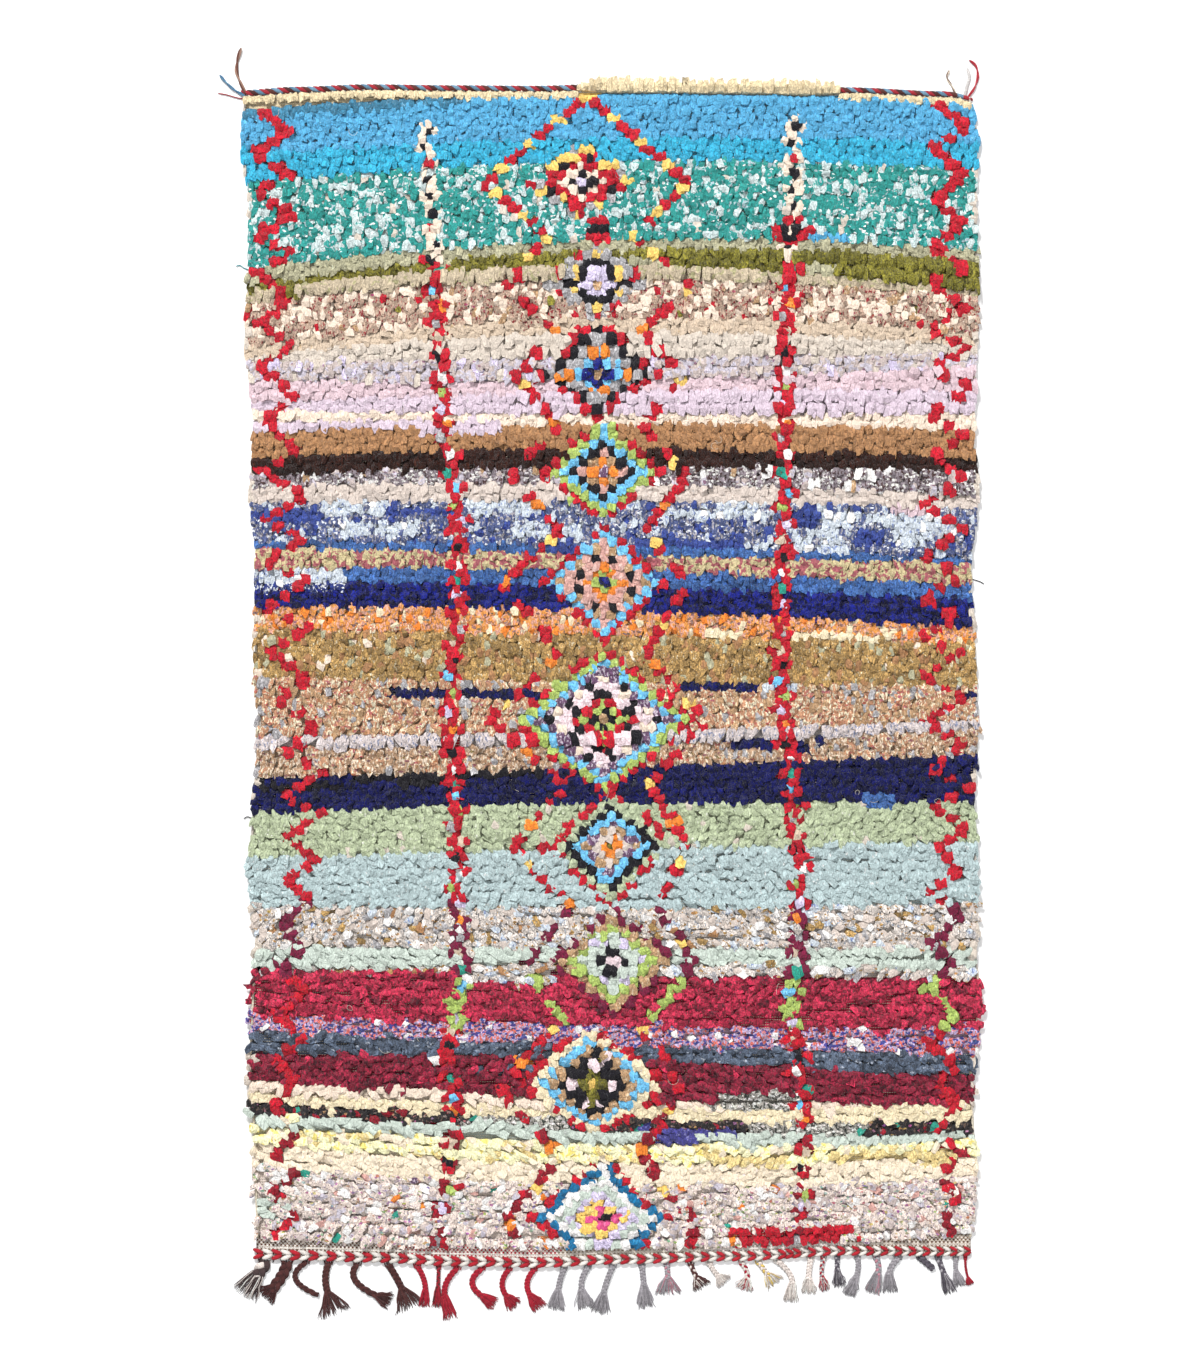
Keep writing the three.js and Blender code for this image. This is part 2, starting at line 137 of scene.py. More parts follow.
def build(name, points, faces, material, colours=None, numbers=None, face_colours=None, creased=False):
    """A mesh object from an array of points and a list of arrays of faces, smooth or creased.

    Each array of faces has three or four columns. colours and numbers are attributes on the points,
    by name; face_colours has one colour for each face. The volume printed is a sum over the faces of
    a·(b×c)/6, which is positive when they point outwards."""
    faces = [np.ascontiguousarray(part, dtype=np.int32) for part in faces if len(part)]
    corners = np.concatenate([part.ravel() for part in faces])
    sizes = np.concatenate([np.full(len(part), part.shape[1]) for part in faces])
    mesh = bpy.data.meshes.new(name)
    mesh.vertices.add(len(points))
    mesh.vertices.foreach_set("co", np.ascontiguousarray(points * MM, dtype=np.float32).ravel())
    mesh.loops.add(len(corners))
    mesh.loops.foreach_set("vertex_index", corners)
    mesh.polygons.add(len(sizes))
    mesh.polygons.foreach_set("loop_start", (np.cumsum(sizes) - sizes).astype(np.int32))
    mesh.polygons.foreach_set("use_smooth", np.full(len(sizes), not creased))
    painted = [(key, values, "POINT") for key, values in (colours or {}).items()]
    painted += [(key, np.repeat(values, sizes, axis=0), "CORNER")
                for key, values in (face_colours or {}).items()]
    for key, values, domain in painted:
        layer = mesh.color_attributes.new(key, "FLOAT_COLOR", domain)
        rgba = np.ones((len(values), 4), dtype=np.float32)
        rgba[:, :3] = values
        layer.data.foreach_set("color", rgba.ravel())
    for key, values in (numbers or {}).items():
        values = np.ascontiguousarray(values, dtype=np.float32)
        layer = mesh.attributes.new(key, "FLOAT_VECTOR" if values.ndim == 2 else "FLOAT", "POINT")
        layer.data.foreach_set("vector" if values.ndim == 2 else "value", values.ravel())
    mesh.update(calc_edges=True)
    mesh.materials.append(material)
    piece = bpy.data.objects.new(name, mesh)
    bpy.context.scene.collection.objects.link(piece)
    volume = 0.0
    for part in faces:
        for k in range(1, part.shape[1] - 1):
            a, b, c = (points[part[:, m]] for m in (0, k, k + 1))
            volume += float(np.einsum("ij,ij->i", a, np.cross(b, c)).sum()) / 6
    print(f"{name}: {int((sizes - 2).sum())} triangles, {volume / CUBIC_CM:.0f} cubic cm")
    return piece


def part_of(piece, slot, *nodes):
    """Fixes a piece to the rug and hides the imported parts that it stands for; slot is not used."""
    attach(piece, "root")
    if nodes:
        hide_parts(*nodes)
    return piece


print("linear light of a mid grey:", linear("808080")[0].round(3))

# %% [markdown]
# A tube is a ring of points at each station of a path, and a slab is two grids with a wall round
# them. Both are closed, so every piece has an inside. The faces of a thousand tubes are those of one,
# shifted by the number of points in a tube.

# %% Tubes, slabs and yarns
def tube_faces(count, stations, sides):
    """Faces of many closed tubes: quads between the rings of points, and both ends closed.

    An end is closed by quads that share its ring's first point, and one triangle if it is odd."""
    ring = np.arange(sides)
    step = np.arange(stations - 1)[:, None] * sides
    around = np.stack([step + ring, step + sides + ring, step + sides + (ring + 1) % sides,
                       step + (ring + 1) % sides], axis=-1).reshape(-1, 4)
    pair = np.arange(1, sides - 2, 2)
    first = np.stack([0 * pair, pair, pair + 1, pair + 2], axis=-1)
    last_ring = (stations - 1) * sides
    quads = np.concatenate([around, first, first[:, ::-1] + last_ring])
    odd = [(0, sides - 2, sides - 1), (last_ring + sides - 1, last_ring + sides - 2, last_ring)]
    odd = np.array(odd[:2 * (sides % 2)], dtype=int).reshape(-1, 3)
    shift = np.arange(count)[:, None, None] * stations * sides
    return [(part[None] + shift).reshape(-1, part.shape[1]) for part in (quads, odd)]


def slab_faces(across, along):
    """Faces of a closed slab made of two grids of points, across x along, the upper one first."""
    i, j = np.meshgrid(np.arange(across - 1), np.arange(along - 1), indexing="ij")
    a = (i * along + j).ravel()
    upper = np.stack([a, a + along, a + along + 1, a + 1], axis=1)
    total = across * along
    rim = np.concatenate([np.arange(0, total - along, along), total - along + np.arange(along - 1),
                          np.arange(total - 1, along - 1, -along), np.arange(along - 1, 0, -1)])
    following = np.roll(rim, -1)
    wall = np.stack([rim, rim + total, following + total, following], axis=1)
    return [upper, upper[:, ::-1] + total, wall]


def ring_angles(sides):
    """The angles of a ring's points: a full turn x (number + a half) / sides."""
    return 2 * np.pi * (np.arange(sides) + 0.5) / sides


def to_side(way):
    """The direction a quarter turn to the left of a direction in plan: (x, y) gives (-y, x)."""
    return np.stack([-way[..., 1], way[..., 0]], axis=-1)


def raised(plan, level):
    """Points in plan, or a pair of arrays (across, along), with a level added as their third number."""
    across, along = plan if isinstance(plan, tuple) else (plan[..., 0], plan[..., 1])
    return np.stack(np.broadcast_arrays(across, along, level), axis=-1)


def sweep(paths, wide, high, sides):
    """Points of many tubes. paths is tubes x stations x 3; wide and high are the half sizes.

    At each station the section is an ellipse: wide along the side of the path, which is the cross
    product of the path's direction and up, and high along the normal to both."""
    way = np.gradient(paths, axis=1)
    way /= np.linalg.norm(way, axis=2, keepdims=True) + 1e-12
    side = np.cross(way, [0.0, 0.0, 1.0])
    side /= np.linalg.norm(side, axis=2, keepdims=True) + 1e-12
    normal = np.cross(side, way)
    angle = ring_angles(sides)
    wide, high = (np.broadcast_to(np.asarray(size, dtype=float), paths.shape[:2]) for size in (wide, high))
    spread = np.cos(angle)[:, None] * (side * wide[..., None])[:, :, None]
    lift = np.sin(angle)[:, None] * (normal * high[..., None])[:, :, None]
    return (paths[:, :, None] + spread + lift).reshape(-1, 3)


def fibre_guide(paths, sides):
    """Where each point of a sweep lies along and round its tube: length, cosine and sine.

    Streaks drawn from these three numbers run along the fibres and show no seam."""
    length = np.cumsum(np.linalg.norm(np.diff(paths, axis=1, prepend=paths[:, :1]), axis=2), axis=1)
    guide = np.empty((*length.shape, sides, 3))
    guide[..., 0] = length[..., None]
    guide[..., 1] = np.cos(ring_angles(sides))
    guide[..., 2] = np.sin(ring_angles(sides))
    return guide.reshape(-1, 3)


def yarns(name, paths, wide, high, sides, tints, material, slot, *nodes, painted_depth_shade=0.15):
    """Many tubes of yarn as one piece, with a colour for each tube, or for each station of one tube.

    The colour is multiplied by 1 - the shade's strength x dip, where dip is 0 at the tube's top and
    1 at its lowest: painted shade, darker where the yarn lies low."""
    count, stations = paths.shape[:2]
    level = paths[..., 2] - paths[..., 2].min(axis=1, keepdims=True)
    dip = 1 - level / np.maximum(level.max(axis=1, keepdims=True), 1.0)
    # Painted shade: each point is darker the lower it lies on its tube, by up to the given strength.
    shade = np.repeat(1 - painted_depth_shade * dip.ravel()[:, None], sides, axis=0)
    dye = np.repeat(tints, count * stations * sides // len(tints), axis=0) * shade
    piece = build(name, sweep(paths, wide, high, sides), tube_faces(count, stations, sides), material,
                  colours={"dye": dye}, numbers={"fibre": fibre_guide(paths, sides)})
    return part_of(piece, slot, *nodes)


print("faces of a tube of 4 stations and 4 sides:", sum(map(len, tube_faces(1, 4, 4))))

# %% [markdown]
# ## The outline of the cloth
#
# A rug from a hand loom has no straight edge: the sides draw in where a row was beaten hard and the
# ends bow. Two short tables hold that drift, in millimetres from the middle of the cloth, the same
# as in the solid model. Everything else asks them where the edge is.

# %% The edges of the cloth
SIDE_DRIFT = np.array([  # along, left, right
    (1160, -738, 720), (1074, -744, 734), (964, -726, 730), (844, -728, 734), (684, -736, 732),
    (484, -718, 726), (364, -726, 733), (204, -714, 719), (44, -718, 728), (-136, -708, 734),
    (-256, -720, 726), (-396, -728, 731), (-536, -714, 731), (-656, -724, 738), (-806, -728, 722),
    (-976, -718, 728), (-1180, -714, 720)])[::-1]
END_DRIFT = np.array([  # across, top, foot
    (-738, 1166, -1164), (-624, 1173, -1168), (-484, 1178, -1172), (-304, 1176, -1180),
    (-144, 1175, -1183), (16, 1180, -1176), (246, 1178, -1170), (476, 1172, -1159),
    (676, 1164, -1160), (726, 1154, -1160)])
STRIP_DEPTH = 34
TOP_CORD_WIDTH = 15


def eased(table, column, at):
    """A column of a drift table at any place, eased from row to row by the smooth step 3s²-2s³."""
    at = np.clip(np.asarray(at, dtype=float), table[0, 0], table[-1, 0])
    after = np.clip(np.searchsorted(table[:, 0], at), 1, len(table) - 1)
    low, high = table[after - 1], table[after]
    share = (at - low[..., 0]) / (high[..., 0] - low[..., 0])
    share = share * share * (3 - 2 * share)
    return low[..., column] * (1 - share) + high[..., column] * share


left_edge, right_edge = partial(eased, SIDE_DRIFT, 1), partial(eased, SIDE_DRIFT, 2)
top_edge, foot_cord = partial(eased, END_DRIFT, 1), partial(eased, END_DRIFT, 2)
print(f"cloth {right_edge(0) - left_edge(0):.0f} x {top_edge(0) - foot_cord(0):.0f} mm in the middle")

# %% [markdown]
# ## Rows of knots and bands of colour
#
# The rug was knotted row by row from one end to the other, with whatever rag was at hand, so each
# band is a few rows in one cloth. The rows aren't straight: they arch, dip and slope where the weft
# was beaten unevenly. The table gives each band's rag and where its lower edge lies at three places
# across the cloth. A band is cut into rows about 16 mm apart, and each row runs as a parabola
# through its three heights, so a band keeps its whole rows and bends as the real one does.

# %% Bands and their rows
ROW_PITCH = 16.1
GAUGE_PLACES = (-624, -24, 576)
PILE_TOP_EDGE = (1162, 1178, 1172)
BANDS = [  # rag, then its lower edge at the three gauge places
    ("cream jersey", 1134, 1160, 1150), ("steel blue", 1118, 1148, 1144),
    ("sky blue", 1044, 1068, 1064), ("turquoise", 988, 1022, 1014),
    ("teal print", 820, 864, 856), ("khaki", 790, 844, 832), ("olive", 774, 812, 778),
    ("butter", 750, 784, 764), ("red-flecked cream", 666, 708, 692), ("straw", 642, 678, 664),
    ("sage white", 620, 628, 636), ("lilac grey", 582, 584, 604), ("pink", 544, 560, 564),
    ("lilac", 522, 516, 516), ("cream", 484, 496, 488), ("camel", 432, 448, 434),
    ("dark brown", 398, 410, 404), ("brown marl", 372, 376, 360), ("peach", 340, 342, 332),
    ("denim marl", 260, 254, 234), ("mid blue", 246, 236, 220), ("brick print", 208, 204, 182),
    ("mid blue", 178, 172, 152), ("navy", 130, 124, 98), ("orange marl", 84, 74, 62),
    ("golden khaki", -12, -20, -26), ("salmon print", -130, -120, -104),
    ("pale blue print", -154, -148, -124), ("tan print", -210, -192, -172),
    ("ink navy", -278, -264, -260), ("pale green", -368, -356, -344), ("aqua", -470, -472, -468),
    ("ochre speckle", -550, -552, -552), ("mint", -594, -586, -590),
    ("ochre speckle", -596, -608, -612), ("burgundy", -690, -708, -716),
    ("coral print", -726, -748, -762), ("slate", -766, -776, -802), ("wine", -824, -856, -864),
    ("cream", -844, -872, -868), ("yellow", -866, -894, -898), ("black print", -890, -920, -924),
    ("mint", -916, -944, -940), ("yellow mix", -954, -984, -976), ("ivory", -994, -1026, -1018),
    ("confetti", -1134, -1146, -1127)]

edges = np.array([PILE_TOP_EDGE] + [band[1:] for band in BANDS], dtype=float)
band_rows = np.maximum(1, np.round((edges[:-1] - edges[1:]).mean(axis=1) / ROW_PITCH)).astype(int)
row_starts = np.concatenate([[0], np.cumsum(band_rows)])
ROWS = int(row_starts[-1])
band_of_row = np.repeat(np.arange(len(BANDS)), band_rows)
print(f"{ROWS} rows of knots in {len(BANDS)} bands, {2324 / ROWS:.1f} mm apart in the middle")


def row_along(row, across):
    """How far along the cloth a row lies: the parabola through its heights at the gauge places."""
    a, b, c = GAUGE_PLACES
    heights = [np.interp(row, row_starts, edges[:, k]) for k in range(3)]
    weights = [(across - b) * (across - c) / ((a - b) * (a - c)),
               (across - a) * (across - c) / ((b - a) * (b - c)),
               (across - a) * (across - b) / ((c - a) * (c - b))]
    return sum(height * weight for height, weight in zip(heights, weights))


# %% [markdown]
# ## The rags
#
# A rag is plain jersey, a printed cotton, or a marl in which two yarns are twisted. A line of the
# table has its name, its dye, the colour of its print, the print's share of the surface, how coarse
# that print is, and how uneven the dye looks from fold to fold. Some rags have three more columns:
# the colour of their flecks, their share of the surface, and how motley they are, from one colour to
# many. A few bands are mixed by the handful: there, single folds are taken from other cloths, and
# the second table says which rags they are and what share of the folds each has.

# %% The rags
RAGS = """
cream jersey      e8d4ac f8e7c4 0.08 0.3  0.06
teal lining       cfdedd 58b0a8 0.14 0.8  0.06
steel blue        42809f 6fa6c4 0.2  0.3  0.07
sky blue          58a9d4 7cc2e2 0.08 0.3  0.05
turquoise         3bafd3 69c7de 0.08 0.3  0.06
teal print        339891 afc4ca 0.14 0.8  0.06 f4f6f4 0.04 0
khaki             b7b394 cbceb4 0.08 0.3  0.06
olive             8c8533 615b1a 0.3  0.5  0.24
butter            c5b59b b0aa81 0.25 0.8  0.05
red-flecked cream c0a591 923136 0.2  0    0.08 a02c34 0.03 0.2
straw             cfbba5 c5ab88 0.08 0.3  0.03
sage white        cfc3b6 bdb5a6 0.08 0.3  0.02
lilac grey        c2b3ae c4bdc8 0.45 1    0.03 8a6a7c 0.04 0.1
pink              d5bcc3 cbacb2 0.08 0.3  0.02
lilac             d1bfcc dbd4d6 0.08 0.3  0.02
cream             e9d6c3 f3e2d3 0.08 0.3  0.02
camel             b1835b 895c39 0.15 0.3  0.06
dark brown        31160e 4b271b 0.06 0    0.25
brown marl        958990 4f3736 0.36 0.1  0.1  f0ece8 0.25 0.1
peach             d1c3b9 d9d1cc 0.08 0.3  0.02
denim marl        576390 b6b1b7 0.36 0.25 0.1  e8ebf0 0.1  0
pale denim        ced6de 8494c0 0.24 0.3  0.05
deep denim        41539c 28347a 0.35 0.4  0.08
navy marl         2c3a80 d8dce4 0.35 0.3  0.08 f0f2f6 0.15 0
mid blue          4a73b4 35599c 0.3  0.5  0.2
brick print       ccbc91 a95f66 0.42 0.8  0.05
navy              141f7f 090b3e 0.42 0.8  0.34
orange marl       eb9d50 e9ae99 0.45 0.25 0.08 8c6a54 0.1  0.2
golden khaki      bd985e e6d6b4 0.14 0.2  0.2
salmon print      c69272 ebdec0 0.42 0.15 0.07 b8624a 0.15 0.2
pale blue print   d6cac8 898faa 0.25 0.2  0.06
tan print         b69375 e7d3bc 0.4  0.15 0.07 8a5a40 0.12 0.2
ink navy          0d135a 060a36 0.35 0.9  0.25
pale green        b7c2a0 ddded2 0.08 0.3  0.05
aqua              b3c5c6 dfe0de 0.08 0.3  0.04
ochre speckle     e6dbd2 a7adb8 0.22 0.2  0.12 c2904c 0.09 0.15
mint              c6d1c6 d7dcd5 0.08 0.3  0.03
burgundy          d33455 861931 0.38 0.5  0.26
coral print       c4b2d4 e17365 0.45 0.1  0.08 3a3a92 0.3  0.1
slate             616e82 3f4858 0.3  0.6  0.3  aab2c0 0.04 0
wine              9a263f 611328 0.36 0.6  0.3
yellow            ebdbb8 ebddde 0.08 0.3  0.03
black print       2e2a2c 6a564a 0.25 0.1  0.2  a83a3c 0.1  0.5
yellow mix        f9f5c7 f9e583 0.2  0.9  0.03
ivory             efdfc6 efe1de 0.08 0.3  0.02
confetti          f1e0d5 b5a6ae 0.2  0.1  0.06 c88a60 0.17 0.75
red               cc1c30 a81022 0.15 0.5  0.1
deep red          9e1a2c c42a3e 0.2  0.3  0.14
maroon            7c2040 5c1630 0.2  0.5  0.08
black             1c1a20 34323a 0.1  0.3  0.06
lime              aec468 c4dc86 0.2  0.5  0.06
lavender          d6cae6 e8e0f2 0.2  0.5  0.05
light blue        74c4f0 9ad8f8 0.2  0.5  0.06
orange            f68a34 fba458 0.2  0.5  0.07
dusty pink        d8a69c e8c2b8 0.25 0.5  0.05
mauve marl        6d4e6c cdbfcd 0.35 0.2  0.1
hot pink          e6568e f07aa8 0.2  0.5  0.06
sea blue          20709f 3a8cba 0.2  0.5  0.06
white             f2efec dcd8d4 0.15 0.5  0.04
sun yellow        f8cf70 fbe08a 0.2  0.5  0.05
tan               c09a74 e0c8a8 0.25 0.3  0.08
grey              aba8aa d4d2d4 0.3  0.3  0.08
grey marl         a9a49c 3c403a 0.4  0.1  0.1  f2efe8 0.3  0.15
soft gold         efd694 f5e4ae 0.3  0.5  0.06
indigo            4c4a94 8a88c4 0.2  0.3  0.1
sea green         2f9a86 58b8a4 0.2  0.5  0.06
pale pink         f2dbe0 fbeef0 0.2  0.5  0.04
"""
HANDFULS = """
red-flecked cream: red 0.03, olive 0.012, tan 0.05, cream 0.34
lilac grey: lavender 0.1, sage white 0.1
brown marl: lilac grey 0.16, tan 0.05, white 0.06, dark brown 0.02
teal print: teal lining 0.3, sage white 0.02
golden khaki: khaki 0.06, cream 0.02, camel 0.12
salmon print: tan 0.18, grey 0.1
tan print: salmon print 0.25, grey 0.08
orange marl: orange 0.08, salmon print 0.08, yellow 0.08
ochre speckle: pale denim 0.09, camel 0.02, golden khaki 0.05, white 0.05, peach 0.12, grey 0.04
coral print: white 0.05
black print: deep red 0.1, sea green 0.03, yellow 0.02
yellow mix: ivory 0.28, soft gold 0.12
confetti: white 0.12, lilac grey 0.1, orange 0.008, sea green 0.01, mauve marl 0.008, dusty pink 0.04
denim marl: pale denim 0.12, deep denim 0.14
pale denim: denim marl 0.12, white 0.08
pale green: sage white 0.02
burgundy: wine 0.08
wine: burgundy 0.06
"""
NAME_WIDTH = 18
NO_FLECKS = ["ffffff", "0", "0"]
rag_lines = RAGS.strip().splitlines()
rag_index = {line[:NAME_WIDTH].strip(): i for i, line in enumerate(rag_lines)}
rag_values = [line[NAME_WIDTH:].split() for line in rag_lines]
rag_values = [values if len(values) == 8 else values + NO_FLECKS for values in rag_values]
rag_dye, rag_print, rag_third = (np.array([linear(values[k]) for values in rag_values]) for k in (0, 1, 5))
rag_share, rag_coarse, rag_uneven, rag_flecks, rag_motley = np.array(
    [[float(values[k]) for k in (2, 3, 4, 6, 7)] for values in rag_values]).T
print(len(rag_index), "rags, of which", int((rag_flecks > 0).sum()), "have flecks")

# %% [markdown]
# ## The pattern, knot by knot
#
# The pattern is the traditional one of these rugs: lozenges in a column down the middle, a dotted
# column to each side of it, a zigzag by each edge, and broken lines that go round the lozenges. A
# weaver counts knots, so the pattern is worked out the same way, from small charts and counts. Every
# row has the same number of knots, so a knot has a column and a row, as on squared paper. Each rule
# takes all the knots at once and gives the rag of those it covers, and a later rule knots over an
# earlier one. A few knots come from the wrong rag, as they do by hand.

# %% Charts of the pattern
COLUMNS = 61
FOLDS = 3
LOZENGES = [  # across, along, width of a ring, rings to a row, reach of the outer lines, the rings
    (-60, 978, 20.5, 1.06, 196, 212, "lavender, black, cream, red, mixed, mixed"),
    (-30, 772, 15.5, 1.26, 180, 190, "tan, lavender, lavender, black, sun yellow+black, grey, red+grey"),
    (-28, 592, 19.5, 1.18, 162, 172, "tan, navy, light blue, orange+grey, grey, black, red"),
    (-18, 394, 19.0, 1.00, 186, 168, "mauve marl, orange, tan+dusty pink, black, light blue, lime, red"),
    (-16, 176, 17.0, 1.00, 204, 166,
     "navy, lime, orange, dusty pink, black+dusty pink, tan+dusty pink, light blue, red"),
    (-18, -98, 17.8, 1.14, 226, 204,
     "tan, black, lime, red, pale pink+black, pale pink, black+cream, mauve marl, light blue, lime, red"),
    (-2, -352, 17.5, 0.98, 198, 156,
     "olive, orange, peach, mauve marl+tan, light blue, black, pale green, red"),
    (0, -582, 20.4, 0.98, 176, 160, "pale pink, black, mint, mint+lavender, lime, tan, maroon"),
    (-40, -834, 20.3, 0.95, 190, 172,
     "sun yellow, olive, black+pale pink, black, tan, light blue, yellow, red"),
    (-22, -1096, 19.0, 0.86, 180, 180,
     "black, hot pink, sun yellow, lavender, mint, white, sea blue, red"),
]
RUNS = [  # rag, across, along, half width, half height
    ("sky blue", 119, 1152, 417, 8), ("sky blue", 431, 868, 46, 9),
    ("khaki", 71, 824, 39, 12), ("khaki", 421, 800, 25, 14), ("lilac", -480, 492, 250, 9),
    ("pink", 594, 328, 22, 10), ("pale denim", -514, 324, 70, 15), ("pale denim", -214, 328, 80, 14),
    ("pale denim", -464, 286, 75, 11), ("pale denim", -124, 281, 70, 12), ("pale denim", 211, 319, 115, 13),
    ("pale denim", 266, 251, 60, 11), ("pale denim", 516, 305, 100, 11), ("pale denim", 406, 264, 60, 20),
    ("pale denim", 621, 282, 65, 26), ("deep denim", -394, 326, 50, 9), ("deep denim", 381, 309, 35, 20),
    ("deep denim", 516, 266, 40, 12), ("deep denim", -649, 311, 65, 17), ("deep denim", 60, 252, 200, 8),
    ("pale denim", -634, 189, 95, 13), ("navy marl", -634, 170, 95, 8),
    ("yellow", 218, 78, 33, 10), ("yellow", 461, 72, 95, 10),
    ("ink navy", -384, -38, 50, 9), ("ink navy", -219, -40, 85, 9), ("ink navy", 208, -36, 93, 9),
    ("ink navy", 708, -44, 22, 9), ("pale denim", 343, -28, 32, 9), ("ink navy", 318, -148, 78, 9),
    ("black", -610, -228, 100, 9), ("black", -420, -216, 100, 9),
    ("black", -240, -208, 100, 8), ("mid blue", 534, -259, 34, 10),
    ("grey marl", 284, -862, 85, 12), ("grey marl", -200, -906, 110, 14), ("grey marl", 380, -912, 125, 9),
    ("indigo", 146, -922, 100, 13), ("slate", -209, -803, 45, 8), ("soft gold", 276, -969, 80, 9),
    ("soft gold", 566, -971, 120, 10), ("ochre speckle", -200, -603, 105, 12),
    ("ochre speckle", 236, -607, 120, 10), ("mint", -691, -1072, 29, 14), ("red", 355, -1122, 125, 12),
]
DOTTED = [  # the dotted columns: along and across, from the head of the rug to its foot
    [(1180, -380), (840, -356), (480, -336), (320, -308), (100, -308), (-60, -326), (-220, -314),
     (-440, -310), (-616, -308), (-800, -334), (-860, -318), (-980, -332), (-1150, -344)],
    [(1180, 366), (880, 360), (700, 346), (340, 346), (100, 338), (-60, 340), (-200, 358),
     (-360, 372), (-600, 368), (-700, 356), (-820, 372), (-940, 386), (-1150, 374)],
]
ZIGZAGS = [  # the middles of the zigzags, in the same way
    [(1180, -678), (700, -676), (400, -660), (0, -650), (-140, -622), (-400, -624), (-620, -650),
     (-1150, -660)],
    [(1180, 672), (500, 676), (100, 656), (-300, 680), (-660, 656), (-1150, 678)],
]
ZIGZAG_STEP = 46
ZIGZAG_FROM, ZIGZAG_TO = 1190, -1200
MOST_CORNERS = 120
SWINGS = [(1180, 34), (700, 36), (200, 42), (-300, 34), (-600, 27), (-1200, 22)]
ACCENTS = ("lavender", "grey", "black", "sea green", "lime", "orange", "straw", "white", "light blue")
print(len(LOZENGES), "lozenges,", len(RUNS), "runs of rag")

# %% [markdown]
# The knots come first: each row runs from edge to edge with its knots a rag's width apart. A knot
# is a strip of rag whose ends stand up folded, and each knot shows three such folds side by side. The
# bands are counted in knots, and the pattern, which is finer, in single folds.

# %% Places of the knots
knot_row = np.repeat(np.arange(ROWS), COLUMNS)
knot_column = np.tile(np.arange(COLUMNS), ROWS)
row_middle = row_along(np.arange(ROWS) + 0.5, 0.0)
row_left, row_right = left_edge(row_middle), right_edge(row_middle)
row_pitch = (row_right - row_left) / COLUMNS
knot_across = row_left[knot_row] + (knot_column + 0.5) * row_pitch[knot_row]
knot_along = row_along(knot_row + 0.5, knot_across)
ends = np.arange(FOLDS * len(knot_row))
end_knot = ends // FOLDS
end_part = ends % FOLDS - (FOLDS - 1) / 2
end_row = knot_row[end_knot]
end_across = knot_across[end_knot] + end_part * row_pitch[end_row] / FOLDS
print(len(knot_row), "knots,", len(ends), "folds of rag")


def read_route(route, along):
    """Where a route of (along, across) points lies at each place, in straight stretches."""
    points = np.array(route, dtype=float)
    points = points[np.argsort(points[:, 0])]
    return np.interp(along, points[:, 0], points[:, 1])


def zigzag_route(middles, seed):
    """A zigzag about a drifting middle: corners left and right in turn, a few rows apart.

    A corner lies at the middle, less or more the swing there, times a seeded error."""
    draw = np.random.default_rng(seed)
    along = ZIGZAG_FROM - np.cumsum(draw.uniform(0.75, 1.25, MOST_CORNERS) * ZIGZAG_STEP)
    along = along[along > ZIGZAG_TO]
    side = np.where(np.arange(len(along)) % 2 == 0, -1, 1)
    swing = side * read_route(SWINGS, along) * draw.uniform(0.75, 1.2, len(along))
    return np.stack([along, read_route(middles, along) + swing], axis=1)


# %% [markdown]
# The ground comes next: the bands with uneven edges, the rags that are mixed by the handful, the
# longer runs where one rag ran out in the middle of a row. The last fold of a row is pale in places,
# where the selvedge is overcast.

# %% The rags of the ground
MAROON_FROM, LIME_FROM, LIME_TO, FOOT_FROM = -462, -612, -712, -880
UNEVEN_ROWS = 0.18
RAGGED_EDGE = 9


def ground_rags():
    """The rag of every fold before the pattern: its band's, then a run's, then one of a handful's.

    A fold takes another rag of the handful when its seeded draw falls in that rag's share."""
    uneven_edge = np.round(knot_row + rng.normal(0, UNEVEN_ROWS, len(knot_row))).astype(int)
    band = band_of_row[np.clip(uneven_edge, 0, ROWS - 1)][end_knot]
    rag = np.array([rag_index[name] for name, *_ in BANDS])[band]
    ragged = rng.normal(0, RAGGED_EDGE, len(knot_row))[end_knot]
    for name, across, along, half_width, half_height in RUNS:
        near = np.abs(end_across - across) + ragged < half_width
        rag[near & (np.abs(end_along - along) < half_height)] = rag_index[name]
    ground = rag.copy()
    chance = rng.random(len(rag))
    for line in HANDFULS.strip().splitlines():
        name, _, mixed = line.partition(": ")
        low = 0.0
        for item in mixed.split(", "):
            other, _, share = item.rpartition(" ")
            here = (ground == rag_index[name]) & (chance >= low) & (chance < low + float(share))
            rag[here] = rag_index[other]
            low += float(share)
    return rag


end_along = knot_along[end_knot]
end_rag = ground_rags()
fold_in_row = ends % (FOLDS * COLUMNS)
rim_fold = (fold_in_row == 0) | (fold_in_row == FOLDS * COLUMNS - 1)
overcast = np.sin(end_along / 47) + 0.6 * np.sin(end_along / 19 + end_across) > 0.9
end_rag[rim_fold & overcast] = rag_index["sage white"]
maroon_rows = (end_along < MAROON_FROM) & (end_along > LIME_FROM)
lime_rows = (end_along <= LIME_FROM) & (end_along > LIME_TO)
foot_rows = end_along < FOOT_FROM
RED, BLACK = rag_index["red"], rag_index["black"]
foot_red = np.where((end_knot * 7) % 3 == 0, RED, rag_index["deep red"])
line_rag = np.where(maroon_rows, rag_index["maroon"], np.where(foot_rows, foot_red, RED))
line_rag_lime = np.where(lime_rows, rag_index["lime"], line_rag)
print("rags in the ground:", len(np.unique(end_rag)))

# %% [markdown]
# The outer lines lie far from the middle beside a lozenge and come closer between two of them. They
# are broken into dashes, with a knot of orange or yellow now and then. The zigzags swing about a
# drifting middle, least at the foot. Both are one or two rag ends wide.

